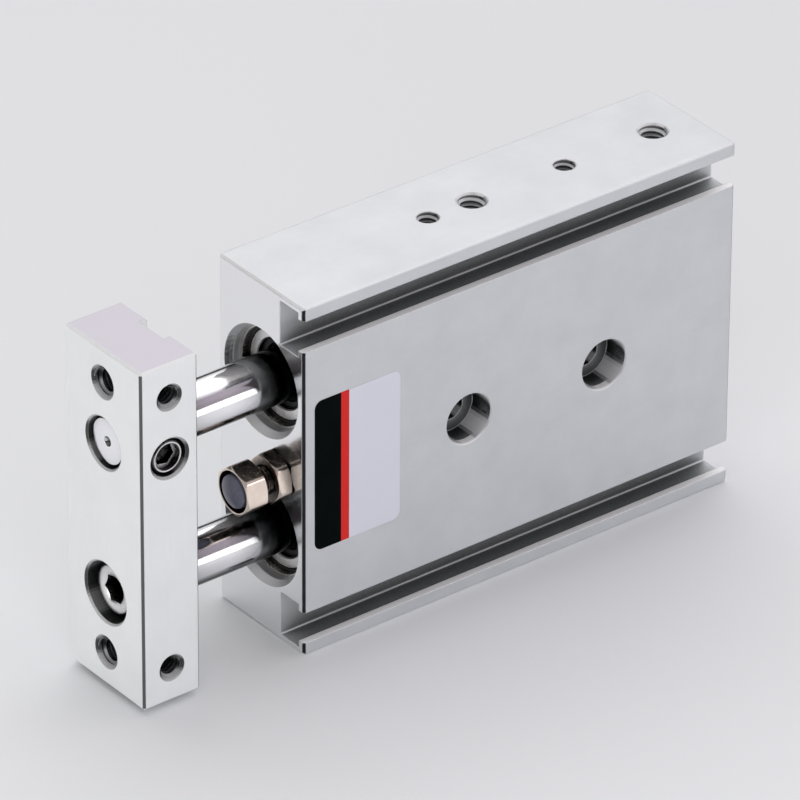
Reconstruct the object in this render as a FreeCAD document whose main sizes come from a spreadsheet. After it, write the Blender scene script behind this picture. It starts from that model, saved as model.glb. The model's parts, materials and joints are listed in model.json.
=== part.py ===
import FreeCAD, Part
import math
import os
import Sketcher

# Guided pneumatic cylinder: two parallel bores in one extruded housing, each with a piston
# and a rod, and a plate that joins the two rods. Millimetres, +Z up.
# The origin is the centre of the housing's base, which is one of its narrow faces.
# The rods leave the housing towards -X, and the sensor slots open towards -Y.

doc = FreeCAD.newDocument("guided_pneumatic_cylinder")

# Driving sizes: name, value, what it is
DRIVING_SIZES = [
    # working sizes
    ("stroke", 20, "travel of the plate"),
    ("extension_at_rest", 9, "how far the rods stand out from fully in"),
    ("bore_diameter", 15, "cylinder bore"),
    ("rod_diameter", 8, "piston rod"),
    ("rod_pitch", 25, "between the two bore axes"),
    # housing
    ("housing_width", 20, "between the wide faces"),
    ("housing_height", 58, "between the narrow faces"),
    ("corner_radius", 0.4, "long outer edges"),
    ("edge_break", 0.4, "edges of the end faces"),
    ("slot_mouth", 5.1, "opening of a sensor slot"),
    ("slot_height", 7.3, "inside of a sensor slot"),
    ("slot_depth", 5.5, "sensor slot, from the wide face"),
    ("slot_lip", 1.2, "thickness of the slot's lips"),
    ("slot_wall", 1, "between the slot and the narrow face"),
    ("slot_corner_radius", 0.3, "inner corners of the slot"),
    # bore ends
    ("lead_diameter", 17.5, "mouth of the front lead-in cone"),
    ("lead_depth", 1.15, "depth of the front lead-in cone"),
    ("mouth_diameter", 16, "counterbore that takes the rod cover's flange"),
    ("flange_length", 2, "rod cover's flange"),
    ("front_ring_depth", 2.3, "front face to the front retaining ring"),
    ("front_ring_bore", 15.2, "inside of the front retaining ring"),
    ("front_groove_diameter", 17, "groove for the front retaining ring"),
    ("ring_thickness", 1, "both retaining rings"),
    ("ring_gap_angle", 26, "degrees left open in a retaining ring"),
    ("ring_lug_diameter", 2.5, "lugs at the ends of a retaining ring"),
    ("ring_lug_reach", 0.8, "inside of a retaining ring to the middle of its lugs"),
    ("ring_lug_hole", 1.2, "holes for the pliers in the lugs"),
    ("rear_seat_diameter", 15.6, "seat of the head cover"),
    ("rear_ring_depth", 0.8, "rear face to the rear retaining ring"),
    ("rear_ring_bore", 13.2, "inside of the rear retaining ring"),
    ("rear_groove_diameter", 16.6, "groove for the rear retaining ring"),
    ("rear_lead", 0.3, "chamfer at the rear of each bore"),
    # rod cover, head cover and seals
    ("cover_length", 33, "rod cover"),
    ("retainer_diameter", 14.2, "outside of the seal retainer"),
    ("retainer_bore", 10.8, "inside of the seal retainer"),
    ("retainer_thickness", 0.8, "seal retainer"),
    ("seal_pocket_diameter", 12, "pocket of the rod seal"),
    ("rod_seal_length", 3.3, "rod seal"),
    ("cover_chamfer", 0.3, "edges of the covers"),
    ("cushion_relief_diameter", 10, "turned recess in the inner face of a rod cover"),
    ("cushion_relief_depth", 1, "depth of that recess"),
    ("o_ring_section", 1.5, "thickness of the O-rings"),
    ("o_ring_setback", 10, "rod cover's front face to its O-ring groove"),
    ("head_cover_length", 4, "head cover"),
    ("head_recess_diameter", 9, "recess in the head cover's outer face"),
    ("head_recess_depth", 1.2, "depth of that recess"),
    # piston
    ("piston_front_wall", 2, "land in front of the seal"),
    ("piston_seal_width", 2.4, "piston seal"),
    ("piston_seal_floor", 10.4, "floor diameter of the seal groove"),
    ("piston_middle_wall", 1.2, "land between seal and magnet"),
    ("magnet_width", 2.8, "magnet ring"),
    ("magnet_floor", 9.8, "floor diameter of the magnet groove"),
    ("magnet_depth", 0.25, "how far the magnet lies below the land"),
    ("piston_rear_wall", 1.5, "land behind the magnet"),
    ("boss_diameter", 9.6, "bosses at both ends of the piston"),
    ("boss_length", 1.5, "bosses at both ends of the piston"),
    ("bumper_ring_diameter", 12.6, "outside of the bumper rings"),
    ("bumper_ring_length", 3, "bumper rings"),
    ("spigot_diameter", 5, "rod end that goes through the piston"),
    # holes in the housing
    ("first_hole_depth", 30, "front face to the first mounting hole"),
    ("hole_spacing", 25, "between the mounting holes"),
    ("side_tap_drill", 3.3, "M4 mounting holes in the narrow faces"),
    ("side_tap_mouth", 3.6, "their chamfered mouth"),
    ("side_tap_depth", 6, "their depth"),
    ("through_drill", 4.3, "through holes between the wide faces"),
    ("counterbore_diameter", 8, "counterbores of the through holes"),
    ("counterbore_depth", 4.4, "counterbores of the through holes"),
    ("counterbore_break", 0.2, "edge of the counterbores"),
    ("port_drill", 4.2, "M5 air ports"),
    ("port_mouth", 4.9, "their chamfered mouth"),
    ("port_depth", 6, "their depth"),
    ("port_setback", 1.7, "cover's inner face to the port's axis"),
    ("passage_diameter", 2.5, "air passage below each port"),
    # plate
    ("plate_width", 18, "across the rods"),
    ("plate_height", 56, "along the row of rods"),
    ("plate_thickness", 10, "along the rods"),
    ("plate_break", 0.35, "outer edges of the plate"),
    ("channel_width", 6, "channel in the plate's back"),
    ("channel_depth", 1.5, "channel in the plate's back"),
    ("plate_hole_pitch", 45, "between the plate's tapped holes"),
    ("front_tap_drill", 4.2, "M5 holes in the plate's front"),
    ("front_tap_mouth", 5.4, "their chamfered mouth"),
    ("edge_tap_drill", 3.3, "M4 holes in the plate's narrow faces"),
    ("edge_tap_mouth", 4.4, "their chamfered mouth"),
    ("edge_tap_depth", 5, "their depth"),
    ("rod_bore_mouth", 8.6, "chamfered mouth of the upper rod's bore"),
    ("rod_recess", 0.75, "plate's front to the upper rod's end"),
    # screws
    ("cap_head_diameter", 8.5, "cap screw's head"),
    ("cap_head_length", 5, "cap screw's head"),
    ("cap_head_recess", 1.4, "plate's front to the cap screw's head"),
    ("cap_counterbore", 9.6, "counterbore of the cap screw"),
    ("cap_counterbore_break", 0.3, "edge of that counterbore"),
    ("cap_socket", 4, "cap screw's socket, across flats"),
    ("cap_socket_depth", 2.6, "cap screw's socket"),
    ("cap_shank_length", 12, "cap screw's shank"),
    ("cap_clearance_drill", 5.5, "hole for the cap screw in the plate"),
    ("set_screw_diameter", 6, "set screw"),
    ("set_screw_recess", 0.5, "plate's side to the set screw"),
    ("set_screw_mouth", 6.8, "chamfered mouth of the set screw's hole"),
    ("set_socket", 3, "set screw's socket, across flats"),
    ("set_socket_depth", 2, "set screw's socket"),
    ("set_cup_diameter", 3, "cup point of the set screw"),
    # bumper bolt
    ("bolt_diameter", 4, "bumper bolt"),
    ("bolt_side_offset", 3.8, "bolt's axis from the housing's middle plane, towards the slots"),
    ("bolt_drop", 1.2, "bolt's axis below the middle between the bores"),
    ("bolt_flats", 7, "bolt's head and lock nut, across flats"),
    ("bolt_head_length", 3.65, "bolt's head"),
    ("bolt_head_turn", -12, "degrees that the head is turned by"),
    ("bolt_shank_length", 19, "bolt's shank"),
    ("nut_thickness", 2.3, "lock nut"),
    ("nut_turn", -15, "degrees that the lock nut is turned by"),
    ("adjust_gap", 2, "lock nut to bolt head"),
    ("hexagon_chamfer", 0.35, "depth of the turned chamfer on the hexagons, at the corners"),
    ("cushion_diameter", 5.2, "bumper cushion"),
    ("cushion_recess_diameter", 6.3, "recess in the bolt's head"),
    ("cushion_recess_depth", 1.2, "recess in the bolt's head"),
    ("cushion_dome", 0.8, "how far the cushion stands out"),
    ("cushion_stem_diameter", 2.5, "cushion's stem"),
    ("cushion_stem_length", 2, "cushion's stem"),
    # clearances, on the radius
    ("slide_gap", 0.05, "piston, seals and rods that slide"),
    ("guide_gap", 0.03, "rod in its guide"),
    ("fit_gap", 0.02, "pieces that are pressed or clamped together"),
    ("thread_gap", 0.03, "bumper bolt in its thread"),
    ("groove_play", 0.1, "seals in their grooves, on each side"),
    ("end_gap", 0.3, "piston to cover at both ends of the stroke"),
    ("stop_gap", 0.05, "plate to bumper cushion, fully in"),
    # rod details
    ("rod_chamfer", 0.5, "ends of the rods"),
    ("rod_mark_setback", 1, "plate's back to the turned line on each rod"),
    ("rod_mark_width", 0.3, "width of that line"),
    ("rod_mark_depth", 0.15, "depth of that line"),
    ("centre_diameter", 1.6, "lathe centre in the upper rod's end"),
]

# Sizes that follow from the driving ones: name and formula
DERIVED_SIZES = [
    ("bore_radius", "Sizes.bore_diameter / 2"),
    ("rod_radius", "Sizes.rod_diameter / 2"),
    ("middle_height", "Sizes.housing_height / 2"),
    ("upper_axis", "Sizes.housing_height / 2 + Sizes.rod_pitch / 2"),
    ("lower_axis", "Sizes.housing_height / 2 - Sizes.rod_pitch / 2"),
    ("cover_front_depth", "Sizes.front_ring_depth + Sizes.ring_thickness"),
    ("cover_end_depth", "cover_front_depth + Sizes.cover_length"),
    ("seal_groove_width", "Sizes.piston_seal_width + 2 * Sizes.groove_play"),
    ("magnet_groove_width", "Sizes.magnet_width + 2 * Sizes.groove_play"),
    ("seal_groove_start", "Sizes.piston_front_wall"),
    ("magnet_groove_start", "seal_groove_start + seal_groove_width + Sizes.piston_middle_wall"),
    ("land_length", "magnet_groove_start + magnet_groove_width + Sizes.piston_rear_wall"),
    ("piston_travel_start", "cover_end_depth + Sizes.end_gap + Sizes.bumper_ring_length"),
    ("head_cover_depth", "piston_travel_start + land_length + Sizes.stroke"
                         " + Sizes.bumper_ring_length + Sizes.end_gap"),
    ("head_stack", "Sizes.head_cover_length + Sizes.ring_thickness + Sizes.rear_ring_depth"),
    ("housing_length", "head_cover_depth + head_stack"),
    ("front_x", "-housing_length / 2"),
    ("rear_x", "housing_length / 2"),
    ("piston_x", "front_x + piston_travel_start + Sizes.stroke - Sizes.extension_at_rest"),
    ("bolt_head_x", "front_x - Sizes.nut_thickness - Sizes.adjust_gap"),
    ("bumper_x", "bolt_head_x - Sizes.bolt_head_length - Sizes.cushion_dome"),
    ("plate_x", "bumper_x - Sizes.stop_gap - Sizes.extension_at_rest"),
    ("bolt_height", "middle_height - Sizes.bolt_drop"),
    ("front_port_x", "front_x + cover_end_depth + Sizes.port_setback"),
    ("rear_port_x", "front_x + head_cover_depth - Sizes.port_setback"),
    ("o_ring_radius", "bore_radius - Sizes.o_ring_section / 2 - Sizes.fit_gap"),
    ("head_o_ring_radius", "Sizes.rear_seat_diameter / 2 - Sizes.o_ring_section / 2"
                           " - Sizes.fit_gap"),
    ("o_ring_groove_width", "Sizes.o_ring_section + 2 * Sizes.groove_play"),
    ("cushion_radius", "(Sizes.cushion_diameter ^ 2 / 4 + Sizes.cushion_dome ^ 2)"
                       " / 2 / Sizes.cushion_dome"),
]


def make_sheet(name, rows):
    sheet = doc.addObject("Spreadsheet::Sheet", name)
    for number, (alias, content, *note) in enumerate(rows, start=1):
        sheet.set(f"A{number}", alias)
        sheet.set(f"B{number}", str(content))
        sheet.setAlias(f"B{number}", alias)
        for words in note:
            sheet.set(f"C{number}", words)
    doc.recompute()
    return sheet


sizes = make_sheet("Sizes", DRIVING_SIZES)
derived = make_sheet("Derived", [(name, "=" + formula) for name, formula in DERIVED_SIZES])


# Tools for bodies, sketches and features

def new_body(label, across="0", side="0", height="0", turn=0):
    """A body whose place is bound to the sheets, turned about its own X axis."""
    body = doc.addObject("PartDesign::Body", label)
    body.Placement.Rotation = FreeCAD.Rotation(FreeCAD.Vector(1, 0, 0), turn)
    for axis, formula in (("x", across), ("y", side), ("z", height)):
        body.setExpression(f"Placement.Base.{axis}", formula)
    return body


def new_sketch(body, name, plane, offset="0", lift="0"):
    """A sketch on one of the body's planes: offset runs along the plane's normal,
    lift along the sketch's own vertical."""
    sketch = body.newObject("Sketcher::SketchObject", name)
    planes = {feature.Role: feature for feature in body.Origin.OriginFeatures}
    sketch.AttachmentSupport = [(planes[plane], "")]
    sketch.MapMode = "FlatFace"
    sketch.setExpression("AttachmentOffset.Base.z", offset)
    sketch.setExpression("AttachmentOffset.Base.y", lift)
    return sketch


def pin_point(sketch, geometry, position, across, up):
    """Holds a point at a place given by two formulas."""
    for kind, formula, axis in (("DistanceX", across, -2), ("DistanceY", up, -1)):
        if formula == "0":
            sketch.addConstraint(Sketcher.Constraint("PointOnObject", geometry, position, axis))
        else:
            held = Sketcher.Constraint(kind, -1, 1, geometry, position, 1.0)
            number = sketch.addConstraint(held)
            sketch.setExpression(f"Constraints[{number}]", formula)


def outline(sketch, corners):
    """A closed outline of straight lines through corners given by formulas."""
    count = len(corners)
    first = sketch.GeometryCount
    turn = 2 * math.pi / count
    starts = [FreeCAD.Vector(math.cos(turn * i), math.sin(turn * i), 0) for i in range(count)]
    for i in range(count):
        sketch.addGeometry(Part.LineSegment(starts[i], starts[(i + 1) % count]))
    for i in range(count):
        following = first + (i + 1) % count
        sketch.addConstraint(Sketcher.Constraint("Coincident", first + i, 2, following, 1))
    for i, (across, up) in enumerate(corners):
        pin_point(sketch, first + i, 1, across, up)


def rectangle(sketch, left, right, low, high):
    outline(sketch, [(left, low), (right, low), (right, high), (left, high)])


def disc(sketch, across, up, diameter):
    start = Part.Circle(FreeCAD.Vector(0, 0, 0), FreeCAD.Vector(0, 0, 1), 1)
    geometry = sketch.addGeometry(start)
    number = sketch.addConstraint(Sketcher.Constraint("Diameter", geometry, 2.0))
    sketch.setExpression(f"Constraints[{number}]", diameter)
    pin_point(sketch, geometry, 3, across, up)


def hexagon(sketch, flats):
    """A hexagon about the sketch's origin, with two upright flats."""
    half = f"{flats} / 2"
    rise = f"{flats} / 2 * tan(30 deg)"
    point = f"{flats} / 2 / cos(30 deg)"
    outline(sketch, [
        (half, rise), ("0", point), (f"-{half}", rise),
        (f"-{half}", f"-{rise}"), ("0", f"-{point}"), (half, f"-{rise}"),
    ])


def extrude(body, kind, sketch, length, towards="normal", side="One side"):
    """A Pad or Pocket. Pads start along the sketch's normal, pockets against it."""
    feature = body.newObject(f"PartDesign::{kind}", f"{sketch.Name}_{kind.lower()}")
    feature.Profile = sketch
    feature.SideType = side
    if length == "through":
        feature.Type = "ThroughAll"
    else:
        feature.setExpression("Length", length)
    feature.Reversed = (towards == "normal") == (kind == "Pocket")
    doc.recompute()
    return feature


def revolve(body, kind, sketch, angle=360):
    """A Revolution or Groove about the sketch's horizontal axis."""
    feature = body.newObject(f"PartDesign::{kind}", f"{sketch.Name}_{kind.lower()}")
    feature.Profile = sketch
    feature.ReferenceAxis = (sketch, ["H_Axis"])
    feature.Angle = angle
    doc.recompute()
    return feature


def turned(body, name, corners):
    """Turns an outline of (along the axis, radius) corners about the body's X axis."""
    sketch = new_sketch(body, name, "XZ_Plane")
    outline(sketch, corners)
    return revolve(body, "Revolution", sketch)


def ring_groove(body, name, start, width, floor, outside, lift="0"):
    """Cuts a square groove round the body's X axis, from one radius to another."""
    sketch = new_sketch(body, name, "XZ_Plane", lift=lift)
    rectangle(sketch, start, f"{start} + {width}", floor, outside)
    return revolve(body, "Groove", sketch)


def drill(body, sketch, diameter, depth, towards, mouth=None, flat=False):
    """A drilled hole at each circle of the sketch, with a chamfered mouth if one is given."""
    doc.recompute()
    hole = body.newObject("PartDesign::Hole", f"{sketch.Name}_drilled")
    hole.Profile = sketch
    doc.recompute()
    hole.Threaded = False
    hole.ThreadType = "None"
    hole.setExpression("Diameter", diameter)
    if depth == "through":
        hole.DepthType = "ThroughAll"
    else:
        hole.DepthType = "Dimension"
        hole.setExpression("Depth", depth)
    hole.DrillPoint = "Flat" if flat else "Angled"
    hole.Reversed = towards == "normal"
    if mouth:
        hole.HoleCutType = "Countersink"
        hole.HoleCutCustomValues = True
        hole.setExpression("HoleCutDiameter", mouth)
        hole.HoleCutCountersinkAngle = 90
    doc.recompute()
    return hole


def on_plane(edge, axis, place):
    """True for an edge that lies in the plane where the axis has that value."""
    box = edge.BoundBox
    low = getattr(box, f"{axis}Min")
    high = getattr(box, f"{axis}Max")
    return abs(low - place) < 1e-4 and abs(high - place) < 1e-4


def dress(body, kind, name, size, wanted):
    """A Chamfer or Fillet on every edge of the body so far that is wanted."""
    base = body.Tip
    edges = [f"Edge{i}" for i, edge in enumerate(base.Shape.Edges, start=1) if wanted(edge)]
    feature = body.newObject(f"PartDesign::{kind}", name)
    feature.Base = (base, edges)
    feature.setExpression("Radius" if kind == "Fillet" else "Size", size)
    doc.recompute()
    return feature


def runs_along_x(edge):
    box = edge.BoundBox
    return box.YLength < 1e-4 and box.ZLength < 1e-4


# Housing

def slot_corners(wall, inner, mouth_far, mouth_near):
    """Corners of one sensor slot, from the wide face inwards and back."""
    face = "-Sizes.housing_width / 2"
    lip = f"{face} + Sizes.slot_lip"
    floor = f"{face} + Sizes.slot_depth"
    return [
        (face, mouth_near), (lip, mouth_near), (lip, wall), (floor, wall),
        (floor, inner), (lip, inner), (lip, mouth_far), (face, mouth_far),
    ]


def make_housing():
    body = new_body("housing")
    half_width = "Sizes.housing_width / 2"
    top = "Sizes.housing_height"
    lip_height = "(Sizes.slot_height - Sizes.slot_mouth) / 2"
    inner = "Sizes.slot_wall + Sizes.slot_height"
    lower_slot = slot_corners(
        "Sizes.slot_wall", inner, f"{inner} - {lip_height}", f"Sizes.slot_wall + {lip_height}")
    upper_slot = [(across, f"{top} - ({up})") for across, up in reversed(lower_slot)]
    profile = new_sketch(body, "extrusion", "YZ_Plane")
    outline(profile, [
        (half_width, top), (half_width, "0"), (f"-{half_width}", "0"),
        *lower_slot, *upper_slot, (f"-{half_width}", top),
    ])
    extrude(body, "Pad", profile, "Derived.housing_length", side="Symmetric")

    def outer_corner(edge):
        box = edge.BoundBox
        outer_side = abs(abs(box.YMin) - sizes.housing_width / 2) < 1e-4
        outer_end = abs(box.ZMin) < 1e-4 or abs(box.ZMin - sizes.housing_height) < 1e-4
        return runs_along_x(edge) and outer_side and outer_end

    def slot_corner(edge):
        floor = sizes.slot_depth - sizes.housing_width / 2
        return runs_along_x(edge) and abs(edge.BoundBox.YMin - floor) < 1e-4

    dress(body, "Fillet", "outer_corners", "Sizes.corner_radius", outer_corner)
    dress(body, "Fillet", "slot_corners", "Sizes.slot_corner_radius", slot_corner)

    def end_face_rim(edge):
        middle = edge.CenterOfMass
        at_end = on_plane(edge, "X", derived.front_x) or on_plane(edge, "X", derived.rear_x)
        at_side = abs(abs(middle.y) - sizes.housing_width / 2) < 1e-4
        at_foot = abs(middle.z) < 1e-4 or abs(middle.z - sizes.housing_height) < 1e-4
        return at_end and (at_side or at_foot)

    dress(body, "Chamfer", "end_face_rims", "Sizes.edge_break", end_face_rim)

    for row in ("upper", "lower"):
        axis = f"Derived.{row}_axis"
        front = "Derived.front_x"
        rear = "Derived.rear_x"
        lead = f"{front} + Sizes.lead_depth"
        shoulder = f"{front} + Derived.cover_front_depth + Sizes.flange_length"
        seat = f"{rear} - Derived.head_stack"
        rear_lead = f"{rear} - Sizes.rear_lead"
        seat_radius = "Sizes.rear_seat_diameter / 2"
        bore = new_sketch(body, f"bore_{row}", "XZ_Plane", lift=axis)
        outline(bore, [
            (front, "0"), (front, "Sizes.lead_diameter / 2"), (lead, "Sizes.mouth_diameter / 2"),
            (shoulder, "Sizes.mouth_diameter / 2"), (shoulder, "Derived.bore_radius"),
            (seat, "Derived.bore_radius"), (seat, seat_radius), (rear_lead, seat_radius),
            (rear, f"{seat_radius} + Sizes.rear_lead"), (rear, "0"),
        ])
        revolve(body, "Groove", bore)
        ring_groove(body, f"front_ring_groove_{row}", f"{front} + Sizes.front_ring_depth",
                    "Sizes.ring_thickness", "Derived.bore_radius",
                    "Sizes.front_groove_diameter / 2", lift=axis)
        ring_groove(body, f"rear_ring_groove_{row}",
                    f"{rear} - Sizes.rear_ring_depth - Sizes.ring_thickness",
                    "Sizes.ring_thickness", "Derived.bore_radius",
                    "Sizes.rear_groove_diameter / 2", lift=axis)

    first_hole = "Derived.front_x + Sizes.first_hole_depth"
    second_hole = f"{first_hole} + Sizes.hole_spacing"
    for face, offset, towards in (("top", top, "inside"), ("base", "0", "normal")):
        taps = new_sketch(body, f"mounting_taps_{face}", "XY_Plane", offset=offset)
        disc(taps, first_hole, "0", "Sizes.side_tap_drill")
        disc(taps, second_hole, "0", "Sizes.side_tap_drill")
        drill(body, taps, "Sizes.side_tap_drill", "Sizes.side_tap_depth", towards,
              mouth="Sizes.side_tap_mouth")

    through = new_sketch(body, "through_holes", "XZ_Plane", offset=half_width)
    for place in (first_hole, second_hole):
        disc(through, place, "Derived.middle_height", "Sizes.through_drill")
    extrude(body, "Pocket", through, "through", towards="inside")
    for face, offset, towards in (
            ("near", half_width, "inside"), ("far", f"-{half_width}", "normal")):
        counterbores = new_sketch(body, f"counterbores_{face}", "XZ_Plane", offset=offset)
        for place in (first_hole, second_hole):
            disc(counterbores, place, "Derived.middle_height", "Sizes.counterbore_diameter")
        extrude(body, "Pocket", counterbores, "Sizes.counterbore_depth", towards=towards)

    def counterbore_rim(edge):
        half = sizes.housing_width / 2
        radius = getattr(edge.Curve, "Radius", 0)
        on_face = on_plane(edge, "Y", half) or on_plane(edge, "Y", -half)
        return on_face and abs(radius - sizes.counterbore_diameter / 2) < 1e-4

    dress(body, "Chamfer", "counterbore_rims", "Sizes.counterbore_break", counterbore_rim)

    ports = new_sketch(body, "air_ports", "XY_Plane", offset=top)
    passages = new_sketch(body, "air_passages", "XY_Plane", offset=top)
    for place in ("Derived.front_port_x", "Derived.rear_port_x"):
        disc(ports, place, "0", "Sizes.port_drill")
        disc(passages, place, "0", "Sizes.passage_diameter")
    drill(body, ports, "Sizes.port_drill", "Sizes.port_depth", "inside", mouth="Sizes.port_mouth")
    # Each passage goes on through the wall between the bores and ends in the lower one
    extrude(body, "Pocket", passages, f"{top} - Derived.lower_axis", towards="inside")

    bolt_hole = new_sketch(body, "bumper_bolt_hole", "YZ_Plane", offset="Derived.front_x")
    bolt_bore = "Sizes.bolt_diameter + 2 * Sizes.thread_gap"
    disc(bolt_hole, "-Sizes.bolt_side_offset", "Derived.bolt_height", bolt_bore)
    drill(body, bolt_hole, bolt_bore, "Sizes.bolt_shank_length - Sizes.nut_thickness", "normal",
          mouth=f"{bolt_bore} + 2 * Sizes.edge_break")
    return body


# What closes and seals each bore

def make_rod_cover(row):
    body = new_body(f"rod_cover_{row}", "Derived.front_x + Derived.cover_front_depth", "0",
                    f"Derived.{row}_axis")
    flange = "Sizes.mouth_diameter / 2 - Sizes.fit_gap"
    outside = "Derived.bore_radius - Sizes.fit_gap"
    recess = "Sizes.retainer_diameter / 2 + Sizes.fit_gap"
    pocket = "Sizes.seal_pocket_diameter / 2"
    pocket_end = "Sizes.retainer_thickness + Sizes.rod_seal_length + 2 * Sizes.groove_play"
    guide = "Derived.rod_radius + Sizes.guide_gap"
    length = "Sizes.cover_length"
    chamfer = "Sizes.cover_chamfer"
    relief = "Sizes.cushion_relief_diameter / 2"
    relief_floor = f"{length} - Sizes.cushion_relief_depth"
    turned(body, f"cover_{row}", [
        ("0", recess), ("0", f"{flange} - {chamfer}"), (chamfer, flange),
        ("Sizes.flange_length", flange), ("Sizes.flange_length", outside),
        (f"{length} - {chamfer}", outside), (length, f"{outside} - {chamfer}"), (length, relief),
        (relief_floor, relief), (relief_floor, guide), (pocket_end, guide), (pocket_end, pocket),
        ("Sizes.retainer_thickness", pocket), ("Sizes.retainer_thickness", recess),
    ])
    ring_groove(body, f"cover_groove_{row}", "Sizes.o_ring_setback",
                "Derived.o_ring_groove_width",
                "Derived.o_ring_radius - Sizes.o_ring_section / 2 - Sizes.fit_gap",
                "Derived.bore_radius")
    return body


def make_o_ring(label, across, height, radius):
    """Soft ring with a plain eight-sided section."""
    body = new_body(label, across, "0", height)
    half = "Sizes.o_ring_section / 2"
    flat = f"{half} * tan(22.5 deg)"
    turned(body, f"{label}_section", [
        (half, f"{radius} - {flat}"), (half, f"{radius} + {flat}"),
        (flat, f"{radius} + {half}"), (f"-{flat}", f"{radius} + {half}"),
        (f"-{half}", f"{radius} + {flat}"), (f"-{half}", f"{radius} - {flat}"),
        (f"-{flat}", f"{radius} - {half}"), (flat, f"{radius} - {half}"),
    ])
    return body


def make_rod_seal(row):
    """U-shaped seal: its lips point at the pressure, and a thin lip wipes the rod."""
    start = "Derived.cover_front_depth + Sizes.retainer_thickness + Sizes.groove_play"
    body = new_body(f"rod_seal_{row}", f"Derived.front_x + {start}", "0", f"Derived.{row}_axis")
    inner = "Derived.rod_radius + Sizes.slide_gap"
    outer = "Sizes.seal_pocket_diameter / 2 - Sizes.fit_gap"
    length = "Sizes.rod_seal_length"
    middle = f"({inner} + {outer}) / 2"
    lip = f"({outer} - ({inner})) / 4"
    turned(body, f"seal_{row}", [
        ("0", f"{inner} + {lip}"), ("0", outer), (length, outer), (length, f"{outer} - {lip}"),
        (f"{length} / 2", f"{middle} + {lip} / 3"), (f"{length} / 2", f"{middle} - {lip} / 3"),
        (length, f"{inner} + {lip}"), (length, inner), (f"{length} / 3", inner),
        (f"{length} / 5", f"{inner} + {lip}"),
    ])
    return body


def make_seal_retainer(row):
    body = new_body(f"seal_retainer_{row}", "Derived.front_x + Derived.cover_front_depth", "0",
                    f"Derived.{row}_axis")
    inner = "Sizes.retainer_bore / 2"
    outer = "Sizes.retainer_diameter / 2"
    thickness = "Sizes.retainer_thickness"
    rim = f"{thickness} / 4"
    turned(body, f"retainer_{row}", [
        ("0", f"{inner} + {rim}"), ("0", f"{outer} - {rim}"), (rim, outer), (thickness, outer),
        (thickness, inner), (rim, inner),
    ])
    return body


def make_retaining_ring(label, across, height, inner, outer, opening):
    """Spring ring with a gap and a lug at each end: opening is the direction of the gap, in
    degrees from straight up, towards the far wide face."""
    body = new_body(label, across, "0", height, turn=sizes.ring_gap_angle / 2 - opening)
    sketch = new_sketch(body, f"{label}_section", "XZ_Plane")
    rectangle(sketch, "0", "Sizes.ring_thickness", inner, outer)
    ring = revolve(body, "Revolution", sketch)
    ring.setExpression("Angle", "360 - Sizes.ring_gap_angle")
    doc.recompute()
    reach = f"({inner} - Sizes.ring_lug_reach)"
    lug_turn = f"asin(Sizes.ring_lug_diameter / 2 / {reach})"
    ends = [(f"-{reach} * sin({lug_turn})", f"{reach} * cos({lug_turn})"),
            (f"{reach} * sin(Sizes.ring_gap_angle * 1 deg + {lug_turn})",
             f"{reach} * cos(Sizes.ring_gap_angle * 1 deg + {lug_turn})")]
    for kind, diameter in (("Pad", "Sizes.ring_lug_diameter"), ("Pocket", "Sizes.ring_lug_hole")):
        lugs = new_sketch(body, f"{label}_lug_{kind.lower()}", "YZ_Plane")
        for side, up in ends:
            disc(lugs, side, up, diameter)
        extrude(body, kind, lugs, "Sizes.ring_thickness")
    return body


def make_head_cover(row):
    body = new_body(f"head_cover_{row}", "Derived.front_x + Derived.head_cover_depth", "0",
                    f"Derived.{row}_axis")
    outside = "Sizes.rear_seat_diameter / 2 - Sizes.fit_gap"
    length = "Sizes.head_cover_length"
    chamfer = "Sizes.cover_chamfer"
    recess = "Sizes.head_recess_diameter / 2"
    recess_floor = f"{length} - Sizes.head_recess_depth"
    turned(body, f"head_{row}", [
        ("0", "0"), ("0", f"{outside} - {chamfer}"), (chamfer, outside),
        (f"{length} - {chamfer}", outside), (length, f"{outside} - {chamfer}"),
        (length, recess), (recess_floor, f"{recess} - {chamfer}"), (recess_floor, "0"),
    ])
    start = f"({length} - Derived.o_ring_groove_width) / 2"
    ring_groove(body, f"head_groove_{row}", start, "Derived.o_ring_groove_width",
                "Derived.head_o_ring_radius - Sizes.o_ring_section / 2 - Sizes.fit_gap",
                "Sizes.rear_seat_diameter / 2")
    return body


# Pistons

def make_piston(row):
    body = new_body(f"piston_{row}", "Derived.piston_x", "0", f"Derived.{row}_axis")
    land = "Derived.bore_radius - Sizes.slide_gap"
    boss = "Sizes.boss_diameter / 2"
    spigot = "Sizes.spigot_diameter / 2 + Sizes.fit_gap"
    length = "Derived.land_length"
    chamfer = "Sizes.cover_chamfer"
    rear = f"{length} + Sizes.boss_length"
    turned(body, f"piston_land_{row}", [
        ("-Sizes.boss_length", spigot), ("-Sizes.boss_length", boss), ("0", boss),
        ("0", f"{land} - {chamfer}"), (chamfer, land), (f"{length} - {chamfer}", land),
        (length, f"{land} - {chamfer}"), (length, boss), (rear, boss), (rear, spigot),
    ])
    ring_groove(body, f"seal_groove_{row}", "Derived.seal_groove_start",
                "Derived.seal_groove_width", "Sizes.piston_seal_floor / 2",
                "Derived.bore_radius")
    ring_groove(body, f"magnet_groove_{row}", "Derived.magnet_groove_start",
                "Derived.magnet_groove_width", "Sizes.magnet_floor / 2", "Derived.bore_radius")
    return body


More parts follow.
